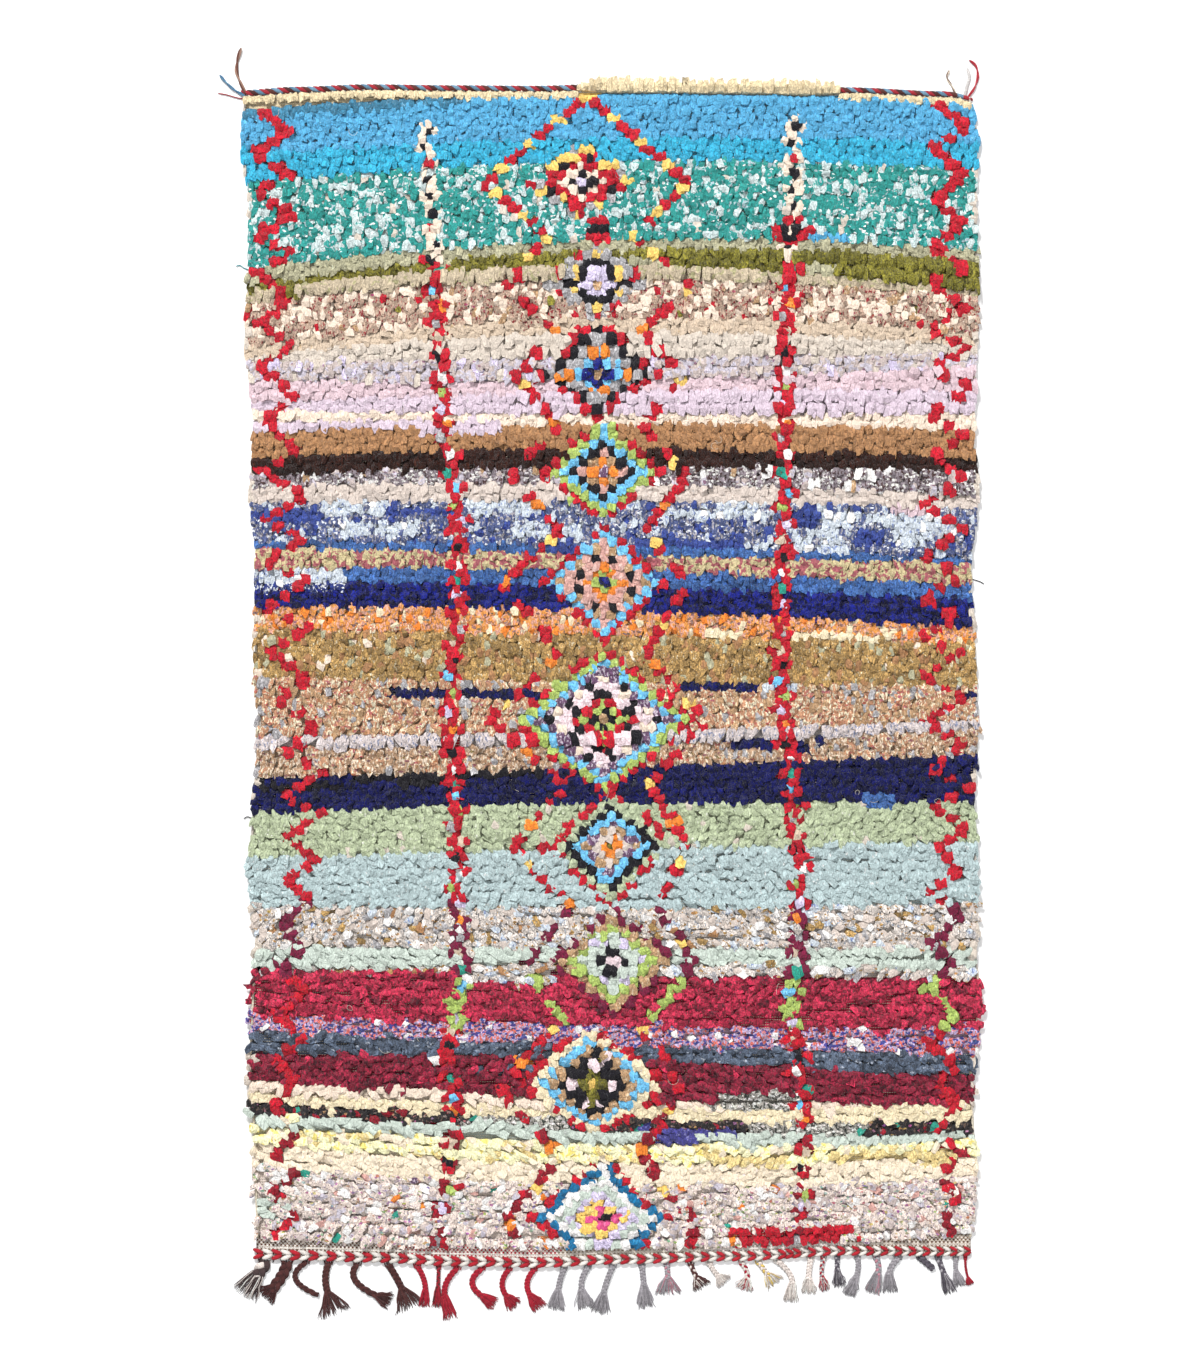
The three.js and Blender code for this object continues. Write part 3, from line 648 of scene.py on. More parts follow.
# %% Outer lines and zigzags
HEAD_TURN = 1150, -50, 6, 6  # along, across, reach to the left and to the right
CLOSE_REACH = 84
BROAD_FROM = 900
SPARKS_FROM = 780
LINE_HALF_WIDTH, BROAD_HALF_WIDTH = 11.0, 13.5
ZIGZAG_HALF_WIDTH, ZIGZAG_AT_FOOT = 12.5, 9.0
block_middle = np.full(len(ends), np.nan)


def lay(here, rag, middle):
    """Knots a rag where told, and gathers its folds about the middle of their block."""
    end_rag[here] = np.broadcast_to(rag, here.shape)[here]
    block_middle[here] = np.broadcast_to(middle, here.shape)[here]


spine_turns = [HEAD_TURN]
for above, (across, along, _, _, to_left, to_right, _) in zip([None] + LOZENGES, LOZENGES):
    if above:
        spine_turns.append(((along + above[1]) / 2, (across + above[0]) / 2, CLOSE_REACH, CLOSE_REACH))
    spine_turns.append((along, across, to_left, to_right))
spine_turns = np.array(sorted(spine_turns), dtype=float).T
spine, reach_left, reach_right = (np.interp(end_along, spine_turns[0], turns) for turns in spine_turns[1:])
from_spine = end_across - spine
outer_line = spine + np.where(from_spine < 0, -reach_left, reach_right)
from_line = np.abs(end_across - outer_line)
dash = (np.sin(end_row * 2.2 + 2.5 * np.sign(from_spine)) > -0.8) | (end_along > BROAD_FROM)
line_half_width = np.where(end_along > BROAD_FROM, BROAD_HALF_WIDTH, LINE_HALF_WIDTH)
on_line = (from_line < line_half_width) & dash & (end_row > 0)
often = np.where(end_along > SPARKS_FROM, 3, 5)
spark = (end_row % often == 1) & ~lime_rows
orange_spark = (end_row % 2 == 1) & (end_along < SPARKS_FROM)
spark_rag = np.where(orange_spark, rag_index["orange"], rag_index["sun yellow"])
lay(on_line, np.where(spark, spark_rag, line_rag_lime), outer_line)

for middles, seed, colour in ((ZIGZAGS[0], 5, line_rag), (ZIGZAGS[1], 8, line_rag_lime)):
    route = read_route(zigzag_route(middles, seed), end_along)
    half_width = ZIGZAG_HALF_WIDTH + 6 * np.clip((end_along - 700) / 300, 0, 1)
    half_width = np.where(foot_rows, ZIGZAG_AT_FOOT, half_width)
    on_zigzag = (np.abs(end_across - route) < half_width) & (end_row > 0)
    on_zigzag &= ~foot_rows | (end_row % 5 > 0)
    lay(on_zigzag, colour, route)
print("folds in lines and zigzags:", int(on_line.sum() + on_zigzag.sum()))

# %% [markdown]
# A dotted column repeats a chart of four rows: a single knot, a wide row of red, accent, red, a
# single knot again, and a wide row that is a little narrower. At the head of the rug it is knotted
# in cream with dark middles, and one red and black rosette sits on the right-hand column.

# %% Dotted columns
CHART = np.array([10.0, 21.0, 10.0, 18.0])  # half width of each row
CREAM_FROM = 826
ACCENT_HALF_WIDTH = 7
SIDE_BLOCK = 13.5
ROSETTE = 360, 884
ROSETTE_REACH = 46, 34


def dotted_column(route):
    """Lays one dotted column: half widths by the row of the chart, accents in its middle.

    The middle is the route plus a small sine of the row, so that the knots don't line up."""
    middle = read_route(route, end_along) + 7 * np.sin(end_row * 1.7)
    offset = end_across - middle
    chart = end_row % len(CHART)
    wide_row = chart % 2 == 1
    head = end_along > CREAM_FROM
    half_width = np.where(head, 0.8, 1.0) * CHART[chart]
    here = (np.abs(offset) < half_width) & (end_row > 3) & (~foot_rows | (end_row % 3 > 0))
    side = (np.abs(offset) > ACCENT_HALF_WIDTH) & wide_row
    block = middle + np.where(side, np.sign(offset) * SIDE_BLOCK, 0.0)
    lay(here, line_rag_lime, block)
    accents = np.array([rag_index[name] for name in ACCENTS])
    lay(here & ~side & wide_row, accents[(end_row // 2 * 5 + end_row // 9) % len(ACCENTS)], block)
    lay(head & here, rag_index["cream"], block)
    lay(head & here & ~side & wide_row, np.where(end_row % 8 < 3, RED, BLACK), block)


ground_end_rag = end_rag.copy()
for route in DOTTED:
    dotted_column(route)
rosette = np.abs(end_across - ROSETTE[0]) / ROSETTE_REACH[0]
rosette += np.abs(end_along - ROSETTE[1]) / ROSETTE_REACH[1]
for limit, name in ((1.0, "red"), (0.62, "black"), (0.3, "cream")):
    lay(rosette < limit, rag_index[name], end_across)
print("folds in the dotted columns and the rosette:", int((end_rag != ground_end_rag).sum()))

# %% [markdown]
# A lozenge is counted from its middle: so many steps to the side plus so many rows up or down gives
# the number of the ring. On squared paper, all squares with the same number draw a lozenge. A few
# knots slip by one ring. A short red and black link joins the first two lozenges.

# %% Lozenges
MIXED = ("sun yellow", "black", "red", "grey", "sun yellow")
SLIP_SHARE = 0.03
LINK = -24, 886
LINK_REACH = 24, 26
LINK_BLOCK = 11


def lozenge(across, along, width, slope, rings):
    """Lays one lozenge: ring = distance across / width of a ring + slope x rows from the middle.

    Where a ring has two rags, they take turns by ring + row, odd or even."""
    middle_row = int(np.abs(row_along(np.arange(ROWS) + 0.5, across) - along).argmin())
    column = knot_column[end_knot]
    steps_up = slope * np.abs(end_row - middle_row)
    ring = np.floor(np.abs(end_across - across) / width + steps_up + 0.5).astype(int)
    steps_out = np.where(ring - steps_up < 0.3, 0, ring - steps_up)
    block = across + np.sign(end_across - across) * width * steps_out
    slip = (rng.random(len(knot_row)) < SLIP_SHARE)[end_knot]
    ring = np.where(slip & (ring > 1), ring - 1, ring)
    laid = np.full(len(ends), -1)
    for i, name in enumerate(rings):
        first, _, second = name.partition("+")
        if name != "mixed":
            pair = rag_index[first], rag_index[second or first]
            laid = np.where(ring == i, np.where((ring + end_row) % 2 == 1, pair[1], pair[0]), laid)
    several = np.array([rag_index[name] for name in MIXED])
    laid = np.where(laid < 0, several[(end_row * 2 + column) % len(MIXED)], laid)
    broken = (ring == len(rings) - 1) & (np.sin(end_row * 2.7 + column * 1.3) < -0.6)
    lay((ring < len(rings)) & ~broken, laid, block)


for across, along, width, slope, _, _, rings in LOZENGES:
    lozenge(across, along, width, slope, rings.split(", "))
link = (np.abs(end_across - LINK[0]) < LINK_REACH[0]) & (np.abs(end_along - LINK[1]) < LINK_REACH[1])
lay(link, np.where(end_row % 2, RED, BLACK), LINK[0] + np.sign(end_across - LINK[0]) * LINK_BLOCK)
print("folds in the pattern:", int((end_rag != ground_end_rag).sum()))

# %% [markdown]
# ## The finish of the rags
#
# Cotton rags are matt, creased and a little fuzzy. The dyes and the print's share come from the rag
# ends as attributes, so one material serves every rag. A fine and a coarse noise stand for small and
# large prints. Where the folds go down between their neighbours, at the roots, the colour is
# darkened as painted shade, by an attribute that is 0 at the knot and 1 at the cut end. The class
# below only shortens the writing of such node trees.

# %% A helper for materials
class Nodes:
    """A short way to write a node tree: add makes a node, sets its values and links its inputs.

    The other methods add one node or a few, and give back the socket that comes out."""

    def __init__(self, name):
        """Makes the material of that name, with the shader that every new material has."""
        self.material = bpy.data.materials.new(name)
        self.material.use_nodes = True
        self.tree = self.material.node_tree
        self.shader = self.tree.nodes["Principled BSDF"]

    def add(self, kind, links=None, values=None, **settings):
        """Adds a node; links and values are sockets and numbers for its inputs, by name or place."""
        node = self.tree.nodes.new(kind)
        for key, value in settings.items():
            setattr(node, key, value)
        for key, value in (values or {}).items():
            node.inputs[key].default_value = value
        for key, socket in (links or {}).items():
            self.tree.links.new(socket, node.inputs[key])
        return node

    def attribute(self, name, output="Color"):
        """What the mesh carries under that name, as a colour, a vector or a number (Fac)."""
        return self.add("ShaderNodeAttribute", attribute_name=name).outputs[output]

    def math(self, operation, *terms):
        """One step of arithmetic on sockets and numbers; MULTIPLY_ADD is first x second + third."""
        node = self.add("ShaderNodeMath", operation=operation)
        for i, value in enumerate(terms):
            if isinstance(value, (int, float)):
                node.inputs[i].default_value = value
            else:
                self.tree.links.new(value, node.inputs[i])
        return node.outputs[0]

    def noise(self, scale, detail=2.0, vector=None, **values):
        """A noise from 0 to 1, mostly near 0.5, with scale waves to a metre.

        It is read at the vector, or at the Object coordinates if none is given."""
        if vector is None:
            vector = self.add("ShaderNodeTexCoord").outputs["Object"]
        values = {"Scale": scale, "Detail": detail, **values}
        return self.add("ShaderNodeTexNoise", {"Vector": vector}, values).outputs["Fac"]

    def stretched(self, vector, factors):
        """A place times a factor for each axis; below 1 draws a pattern out along that axis."""
        return self.add("ShaderNodeVectorMath", {0: vector}, {1: factors}, operation="MULTIPLY").outputs[0]

    def ridges(self, vector, scale, width, **values):
        """A fold line where a noise crosses 0.5: 0 on the line, 1 from so far off it."""
        off_line = self.math("SUBTRACT", self.noise(scale, 1.0, vector, **values), 0.5)
        return self.remap(self.math("ABSOLUTE", off_line), 0.0, width)

    def mix(self, share, first, second, blend="MIX"):
        """Mixes two colours; a colour may be a socket or three numbers."""
        node = self.add("ShaderNodeMix", data_type="RGBA", blend_type=blend)
        if isinstance(share, (int, float)):
            node.inputs["Factor"].default_value = share
        else:
            self.tree.links.new(share, node.inputs["Factor"])
        for key, value in (("A", first), ("B", second)):
            socket = [s for s in node.inputs if s.name == key and s.type == "RGBA"][0]
            if isinstance(value, (tuple, list, np.ndarray)):
                socket.default_value = (*value[:3], 1)
            else:
                self.tree.links.new(value, socket)
        return [s for s in node.outputs if s.type == "RGBA"][0]

    def remap(self, value, low, high, to_low=0.0, to_high=1.0):
        """The straight line that takes low to to_low and high to to_high, and is level past them."""
        node = self.add("ShaderNodeMapRange", {"Value": value},
                        {"From Min": low, "From Max": high, "To Min": to_low, "To Max": to_high})
        return node.outputs["Result"]

    def shaded(self, colour, *shades):
        """A colour darkened by each of the shades, which are numbers about 1."""
        shade = shades[0]
        for other in shades[1:]:
            shade = self.math("MULTIPLY", shade, other)
        grey = self.add("ShaderNodeCombineColor", {"Red": shade, "Green": shade, "Blue": shade})
        return self.mix(1.0, colour, grey.outputs["Color"], "MULTIPLY")

    def finish(self, colour, height=None, distance=0.001, strength=1.0, **values):
        """Links the colour and a bump of height x distance, and sets the shader's values by name."""
        self.tree.links.new(colour, self.shader.inputs["Base Color"])
        for key, value in values.items():
            self.shader.inputs[key.replace("_", " ")].default_value = value
        if height is not None:
            values = {"Distance": distance, "Strength": strength}
            bump = self.add("ShaderNodeBump", {"Height": height}, values)
            self.tree.links.new(bump.outputs["Normal"], self.shader.inputs["Normal"])
        return self.material


print("ready to write materials with", Nodes.__name__)

# %% [markdown]
# One material serves every rag. Where a field of fine and coarse noise passes a threshold that falls
# with the print's share, the print's colour shows. Flecks are whole cells of a fine Voronoi pattern,
# drawn by a white noise. A motley fleck takes its cell's own random colour, half mixed with a dull
# brown, since real scraps are never pure in hue. Creases are the lines where a noise crosses its
# middle; they raise a bump, and the colour is darker along them and lighter between them, painted
# shade and painted light, more in the rags whose dye is uneven.

# %% The finish of the rags
def rag_finish():
    """Dye, print, flecks by the folds' attributes; creases by noise; painted shade at the roots."""
    nodes = Nodes("rag_cotton")
    place = nodes.add("ShaderNodeTexCoord").outputs["Object"]
    drawn_out = nodes.stretched(place, (1.0, 0.5, 0.7))
    fine = nodes.noise(230, 2.0, drawn_out)
    coarse = nodes.math("SUBTRACT", nodes.noise(70, 1.0, Distortion=0.8), fine)
    field = nodes.math("MULTIPLY_ADD", coarse, nodes.attribute("coarse", "Fac"), fine)
    threshold = nodes.math("MULTIPLY_ADD", nodes.attribute("share", "Fac"), -0.34, 0.67)
    printed = nodes.remap(nodes.math("SUBTRACT", field, threshold), -0.02, 0.02)
    colour = nodes.mix(printed, nodes.attribute("dye"), nodes.attribute("print"))

    stretched = nodes.stretched(place, (0.8, 1.2, 1.0))
    cell = nodes.add("ShaderNodeTexVoronoi", {"Vector": stretched}, {"Scale": 200.0})
    draw = nodes.add("ShaderNodeTexWhiteNoise", {"Vector": cell.outputs["Position"]}).outputs["Value"]
    dull = nodes.mix(0.5, cell.outputs["Color"], (0.30, 0.24, 0.22))
    fleck = nodes.mix(nodes.attribute("motley", "Fac"), nodes.attribute("third"), dull)
    colour = nodes.mix(nodes.math("LESS_THAN", draw, nodes.attribute("flecks", "Fac")), colour, fleck)

    puff = nodes.ridges(drawn_out, 190, 0.11, Distortion=0.9)
    crumple = nodes.math("MULTIPLY_ADD", nodes.ridges(drawn_out, 430, 0.12), 0.35, puff)
    crease = nodes.math("MULTIPLY_ADD", nodes.attribute("uneven", "Fac"), 6.0, 0.22)
    crease = nodes.math("MINIMUM", crease, 1.0)
    # Painted shade along the crease lines and painted light between them, scaled by the crease strength.
    tone = nodes.math("MULTIPLY_ADD", nodes.remap(crumple, 0.15, 1.1, -0.30, 0.20), crease, 1.0)
    # Painted shade at the roots: the colour falls to 0.85 at the knot.
    painted_depth_shade = nodes.remap(nodes.attribute("tip", "Fac"), 0.0, 0.34, 0.85, 1.0)
    colour = nodes.shaded(colour, tone, painted_depth_shade)
    return nodes.finish(colour, nodes.math("MULTIPLY", crumple, crease), 0.0030, 1.0, Roughness=0.92,
                        Sheen_Weight=0.12, Sheen_Roughness=0.5, Specular_IOR_Level=0.08)


RAG_COTTON = rag_finish()
print("rag finish:", len(RAG_COTTON.node_tree.nodes), "nodes")

# %% [markdown]
# ## The pile
#
# Each fold of rag stands up from the ground cloth, leans over towards the foot of the rug and ends in
# a blunt cut. It could be a flat ribbon, but that has no back and would show as paper. Here it is a
# closed tube of four stations with four points each: two edges, a ridge between them and a belly.
# The points are pushed about so that no two folds look alike, and all of them are worked out as one
# array. The spine is an arc that starts steep and ends level, so that a row lies on the next one as
# shingles do. The faces aren't smoothed, because a torn rag is all creases and cut edges.

# %% How each fold lies
SIDES = 4
STATIONS = 4
BLOCK_REACH = 14
ROOT_LEVEL = 2.2
COMBED_FROM, COMBED_OVER = 82, 160
LAID_FROM, LAID_OVER, LAID_TURN = -180, 450, 1.25
ROLL_LEFT, ROLL_RIGHT, ROLL_FADE = -70, 458, 60
count = len(ends)
broad_knot = rng.random(len(knot_row))[end_knot] < 0.05 + 0.35 * rag_coarse[end_rag] ** 2
gathered = ~np.isnan(block_middle) | broad_knot
in_pattern = gathered & ~broad_knot
block_middle = np.where(np.isnan(block_middle), knot_across[end_knot], block_middle)
off_middle = np.clip(end_across - block_middle, -BLOCK_REACH, BLOCK_REACH)
across = np.where(gathered, block_middle + 0.64 * off_middle, end_across) + rng.normal(0, 1.0, count)
combed = np.clip((COMBED_FROM - end_along) / COMBED_OVER, 0, 1)
row_height = row_along(end_row, across) - row_along(end_row + 1.0, across)
row_wander = np.where(end_along > 0, 3.0, 1.6) * rng.normal(0, 1, count) * np.where(gathered, 0.5, 1)
along = row_along(end_row + 0.5, across) + row_wander + 0.5 * row_height + 4.0
below_cord = np.where(end_row == 0, 13.0, 18.0)
along = np.minimum(along, top_edge(across) - below_cord) - 4.0 * (end_row == 1)
length = rng.uniform(25, 32, count) + 1.1 * (row_height - 16)

# A fold falls towards the foot, combed a little to one side. Towards the foot of the rug the folds
# lie more and more along their row, but for those of the pattern, and in places they lie the other
# way. At the head the first row falls back over the cord along the middle of the edge.
sideways = np.sin(across / 130 + end_row * 0.9) + 0.8 * np.sin(across / 61 - end_row * 1.7)
fall = rng.normal(0, 0.20, count) + combed * (0.30 * sideways + rng.normal(0, 0.26, count)) + end_part * 0.10
laid = LAID_TURN * np.clip((LAID_FROM - end_along) / LAID_OVER, 0, 1)
turned_back = np.sin(across / 260 + end_row * 0.31) < -0.75
turned_back |= end_across < row_left[end_row] + rng.normal(12, 14, count)
laid *= np.where(end_row > ROWS - 3, 0.35, 1.0)
along -= 7.0 * (end_row == ROWS - 1) + 12.0 * (1 - np.cos(laid)) * ~in_pattern
fall += laid * np.where(in_pattern, 0.35, 1.0) * np.where(turned_back, -1.0, 1.0)
roll = np.minimum(across - ROLL_LEFT, ROLL_RIGHT - across) + row_wander
roll = np.clip(roll / ROLL_FADE, 0, 1) * (end_row == 0)
along -= 8 * roll
length[end_row == 0] = rng.uniform(17, 25, int((end_row == 0).sum()))
length += roll * np.where(end_part == 0, 7, 18)
fall = np.where(roll > 0, np.pi + 0.4 * fall, np.where(in_pattern, 0.5 * fall, fall))
direction = np.stack([np.sin(fall), -np.cos(fall)], axis=1)


def leaning_spines():
    """Each fold rises nearly upright, then lies over in two strides and ends level.

    Ahead is the running sum of stride x cosine of the climb, rise that of stride x its sine."""
    climb = np.array([1.30, 0.36, -0.16]) + rng.normal(0, (0.08, 0.14, 0.20), (count, 3))
    stride = length[:, None] * np.array([0.28, 0.36, 0.36])
    lumps = 1 + 0.08 * np.sin(across / 70 + 1.3) * np.cos(along / 90) + rng.normal(0, 0.09, count)
    lumps += np.where(gathered, 0.14 * (1 - np.abs(off_middle) / 12), 0) + 0.3 * (end_row == 0)
    spines = np.zeros((count, STATIONS, 3))
    ahead, rise = (np.cumsum(turn(climb) * stride, axis=1) for turn in (np.cos, np.sin))
    spines[:, 1:, :2] = direction[:, None] * ahead[..., None]
    spines[:, 1:, 2] = rise * lumps[:, None]
    return spines + raised((across, along), ROOT_LEVEL)[:, None]


spines = leaning_spines()
print(f"{count} folds of rag, tips at {np.median(spines[:, -1, 2]):.1f} mm")

# %% [markdown]
# A fold's section changes along it: narrow at the knot, broad and arched in the middle, flatter at
# the cut. Calm, evenly dyed rags are heavier cloth, so their folds are a little wider and less
# crumpled. No point comes through the back of the ground cloth, and those past the edge are drawn
# most of the way back to it.

# %% The form of each fold
WIDTHS = np.array([0.7, 0.95, 1.1, 0.9])
RIDGES = np.array([1.2, 1.7, 1.8, 1.0])
CRUMPLING = np.array([0.3, 0.8, 1.0, 1.1])
SLANTS = np.array([0.0, 0.3, 0.7, 1.0])[:, None]
LOWEST, HIGHEST = 1.0, 23.0


def crumpled(spines):
    """Four points round each station: edge, ridge, edge, belly.

    A point is the spine plus so much aside, so much up and so much ahead. Aside and up are shares of
    the half width and the ridge height, ahead is a slanted cut, and each has a seeded error."""
    width = WIDTHS * rng.uniform(4.6, 6.6, (count, 1))
    width *= np.where(gathered, 1.35, 1.08 + 0.16 * (rag_uneven[end_rag] < 0.05))[:, None]
    ridge = RIDGES * rng.uniform(0.3, 1.5, (count, 1))
    tilt = rng.normal(0, 0.20, (count, 1, 1))
    calm = np.where((rag_uneven[end_rag] < 0.045) & ~gathered, 0.65, 1.0)[:, None]
    ridge = ridge * calm
    error = rng.normal(0, 1.0, (10, count, STATIONS)) * CRUMPLING * calm
    over = np.stack([-width + 0.8 * error[0], 0.35 * width * error[1], width + 0.8 * error[2],
                     0.5 * error[3]], axis=2)
    up = np.stack([-0.4 * ridge + 0.5 * error[4], ridge + 0.6 * error[5], -0.4 * ridge + 0.5 * error[6],
                   -0.9 * ridge - 0.8], axis=2) + over * tilt
    slant = rng.normal(0, 0.30, (count, 1, 1)) * SLANTS
    ahead = over * slant + np.stack([error[7], 1.3 * error[8], error[9], 0 * error[0]], axis=2)
    aside = to_side(direction)
    points = np.repeat(spines[:, :, None], SIDES, axis=2)
    points[..., :2] += over[..., None] * aside[:, None, None] + ahead[..., None] * direction[:, None, None]
    points[..., 2] = np.clip(points[..., 2] + up, LOWEST, HIGHEST + 0.2 * error[5][..., None])
    out_left = np.maximum(left_edge(points[..., 1]) + 1 - points[..., 0], 0)
    out_right = np.maximum(points[..., 0] - right_edge(points[..., 1]) + 1, 0)
    points[..., 0] += rng.uniform(0.35, 0.8, (count, 1, 1)) * (out_left - out_right)
    return points


rag_points = crumpled(spines)
strip_tone = 0.5 * np.sin(across / 90 + end_row * 2.3) + 0.5 * np.sin(across / 37 + end_row * 5.1)
tone = 1 + rag_uneven[end_rag] * (strip_tone + rng.normal(0, 0.9, count))
tone = np.clip(tone, 0.6, 1.3)[:, None]
dye, second_dye = (np.clip(colours[end_rag] * tone, 0, 1) for colours in (rag_dye, rag_print))
print(f"highest point {rag_points[..., 2].max():.1f} mm")

# %% [markdown]
# The pile is cut into five pieces by rows, so that none of them is too heavy.

# %% The pieces of the pile
PILE_PIECES = ("pile_blue_end", "pile_pale_bands", "pile_denim_bands", "pile_green_bands", "pile_foot_end")
FOLD_COLOURS = {"dye": dye, "print": second_dye, "third": rag_third[end_rag]}
FOLD_NUMBERS = {"share": rag_share, "coarse": rag_coarse, "uneven": rag_uneven, "flecks": rag_flecks,
                "motley": rag_motley}
PER_FOLD = SIDES * STATIONS
limits = np.linspace(0, ROWS, len(PILE_PIECES) + 1).round().astype(int)
for name, low, high in zip(PILE_PIECES, limits[:-1], limits[1:]):
    mine = (end_row >= low) & (end_row < high)
    total = int(mine.sum())
    colours = {key: np.repeat(values[mine], PER_FOLD, axis=0) for key, values in FOLD_COLOURS.items()}
    numbers = {key: np.repeat(values[end_rag[mine]], PER_FOLD) for key, values in FOLD_NUMBERS.items()}
    # tip runs from 0 at the knot to 1 at the cut end; the material paints shade near the knot from it.
    numbers["tip"] = np.tile(np.repeat(np.linspace(0, 1, STATIONS), SIDES), total)
    piece = build(name, rag_points[mine].reshape(-1, 3), tube_faces(total, STATIONS, SIDES), RAG_COTTON,
                  colours, numbers, creased=True)
    part_of(piece, "rag_pile", "pile_field")

# %% [markdown]
# ## The ground cloth
#
# Under the pile lies the cloth that holds it: warp and weft woven between the rows of knots. Only
# its back is ever seen, where each knot shows as a short bar of its own rag. The cloth is a closed
# slab of two grids, one cell to a knot, each cell painted with its knot's dye, which is darkened to
# nine tenths on the top, under the pile, as painted shade. The weave is a material: two sets of ribs
# that cross, worked out from Object coordinates; their product darkens the colour where the weave is
# low, as painted shade.

# %% The ground cloth
def cloth_finish():
    """Knot colours crossed by pale warp, ribs as sines across and along, painted shade in the weave."""
    nodes = Nodes("ground_cloth")
    place = nodes.add("ShaderNodeSeparateXYZ", {"Vector": nodes.add("ShaderNodeTexCoord").outputs["Object"]})
    wobble = nodes.noise(40, 2.0)
    warp, weft = (
        nodes.math("SINE", nodes.math("MULTIPLY_ADD", place.outputs[axis], 2 * np.pi / pitch,
                                      nodes.math("MULTIPLY", wobble, sway)))
        for axis, pitch, sway in (("X", 0.0048, 2.0), ("Y", 0.0054, 3.0)))
    weave = nodes.math("MULTIPLY", warp, weft)
    pale = nodes.remap(nodes.math("ADD", weft, nodes.math("MULTIPLY", warp, 0.4)), 0.55, 0.9, 0.0, 0.75)
    colour = nodes.mix(pale, nodes.attribute("dye"), linear("d8cdb8"))
    tone = nodes.remap(nodes.noise(300, 2.0), 0.3, 0.7, 0.72, 1.02)
    # Painted shade in the weave: the colour falls to 0.78 where the ribs' product, part of the bump, is low.
    colour = nodes.shaded(colour, tone, nodes.remap(weave, -1, 1, 0.78, 1.0))
    return nodes.finish(colour, nodes.math("ADD", weave, weft), 0.0007, 0.8, Roughness=0.95,
                        Sheen_Weight=0.1, Specular_IOR_Level=0.1)


GROUND_CLOTH = cloth_finish()
CLOTH_TOP, CLOTH_BACK = 2.4, 0.25


def slab(name, across, along, top, back, cell_dyes, rim_code):
    """A closed slab of cloth on a grid of places, with a dye for each cell of its top and its back."""
    points = [raised((across, along), level).reshape(-1, 3) for level in (top, back)]
    rim = np.tile(linear(rim_code), (2 * (sum(across.shape) - 2), 1))
    return build(name, np.concatenate(points), slab_faces(*across.shape), GROUND_CLOTH,
                 face_colours={"dye": np.concatenate([*cell_dyes, rim])})


cell_u, cell_v = np.meshgrid(np.linspace(0, 1, COLUMNS + 1), np.linspace(ROWS, 0, ROWS + 1), indexing="ij")
guess = row_along(cell_v, 0.0)
cloth_across = (1 - cell_u) * (left_edge(guess) + 3) + cell_u * (right_edge(guess) - 3)
cloth_along = np.clip(row_along(cell_v, cloth_across), foot_cord(cloth_across) + STRIP_DEPTH,
                      top_edge(cloth_across) - TOP_CORD_WIDTH - 0.8)
hollow = 0.5 + 0.35 * np.sin(cloth_across / 60) * np.sin(cloth_along / 75)
cloth_rag = end_rag[1::FOLDS].reshape(ROWS, COLUMNS)[::-1].T.ravel()
printed = 0.45 * rag_share[cloth_rag][:, None]
cell_dye = rag_dye[cloth_rag] * (1 - printed) + rag_print[cloth_rag] * printed
# The top shows only between the folds: its dye at nine tenths is painted shade under the pile.
ground = slab("ground_cloth", cloth_across, cloth_along, CLOTH_TOP, CLOTH_BACK + 0.3 * hollow,
              [cell_dye * 0.9, cell_dye], "d8cdb8")
part_of(ground, "warp_yarn", "pile_field")

# %% [markdown]
# ## Yarn and cord
#
# Every thread at the rug's edges is spun: fibres run along it in a slow twist, and stray hairs catch
# the light. One material serves them all. It reads a guide kept on the points, the length along the
# thread and the cosine and sine round it, and stretches a noise along the thread.

# %% Spun yarn
def yarn_finish(name, twist, length_scale, bump):
    """Spun yarn: streaks are a noise on (length, cosine, sine) turned by the twist along the length."""
    nodes = Nodes(name)
    guide = nodes.add("ShaderNodeSeparateXYZ", {"Vector": nodes.attribute("fibre", "Vector")})
    length = guide.outputs["X"]
    turn = nodes.math("MULTIPLY", length, twist)
    c, s = nodes.math("COSINE", turn), nodes.math("SINE", turn)
    x, y = guide.outputs["Y"], guide.outputs["Z"]
    round_cos = nodes.math("SUBTRACT", nodes.math("MULTIPLY", x, c), nodes.math("MULTIPLY", y, s))
    round_sin = nodes.math("ADD", nodes.math("MULTIPLY", x, s), nodes.math("MULTIPLY", y, c))
    slow_length = nodes.math("MULTIPLY", length, length_scale)
    vector = nodes.add("ShaderNodeCombineXYZ", {"X": slow_length, "Y": round_cos, "Z": round_sin})
    streak = nodes.noise(2.6, 2.0, vector.outputs["Vector"])
    fuzz = nodes.noise(420, 2.0)
    tone = nodes.remap(streak, 0.3, 0.7, 0.62, 1.18)
    colour = nodes.shaded(nodes.attribute("dye"), tone, nodes.remap(fuzz, 0.3, 0.7, 0.86, 1.06))
    return nodes.finish(colour, nodes.math("MULTIPLY_ADD", fuzz, 0.4, streak), bump, 0.9, Roughness=0.9,
                        Sheen_Weight=0.25, Sheen_Roughness=0.4, Specular_IOR_Level=0.2)


SPUN_YARN = yarn_finish("spun_yarn", 0.55, 0.05, 0.0009)
CORD_YARN = yarn_finish("cord_yarn", 0.35, 0.06, 0.0007)
print("yarn finishes:", SPUN_YARN.name, CORD_YARN.name)

# %% [markdown]
# The selvedges are cords of several warps, wrapped over and over in cream yarn. Each is one tube
# along the edge; its wraps are rings raised on it, narrow and close.

# %% Selvedges
SELVEDGE_FOOT, SELVEDGE_HEAD = -1132, 1152
WRAP_STATIONS = 763
WRAP_STEPS = 2.5


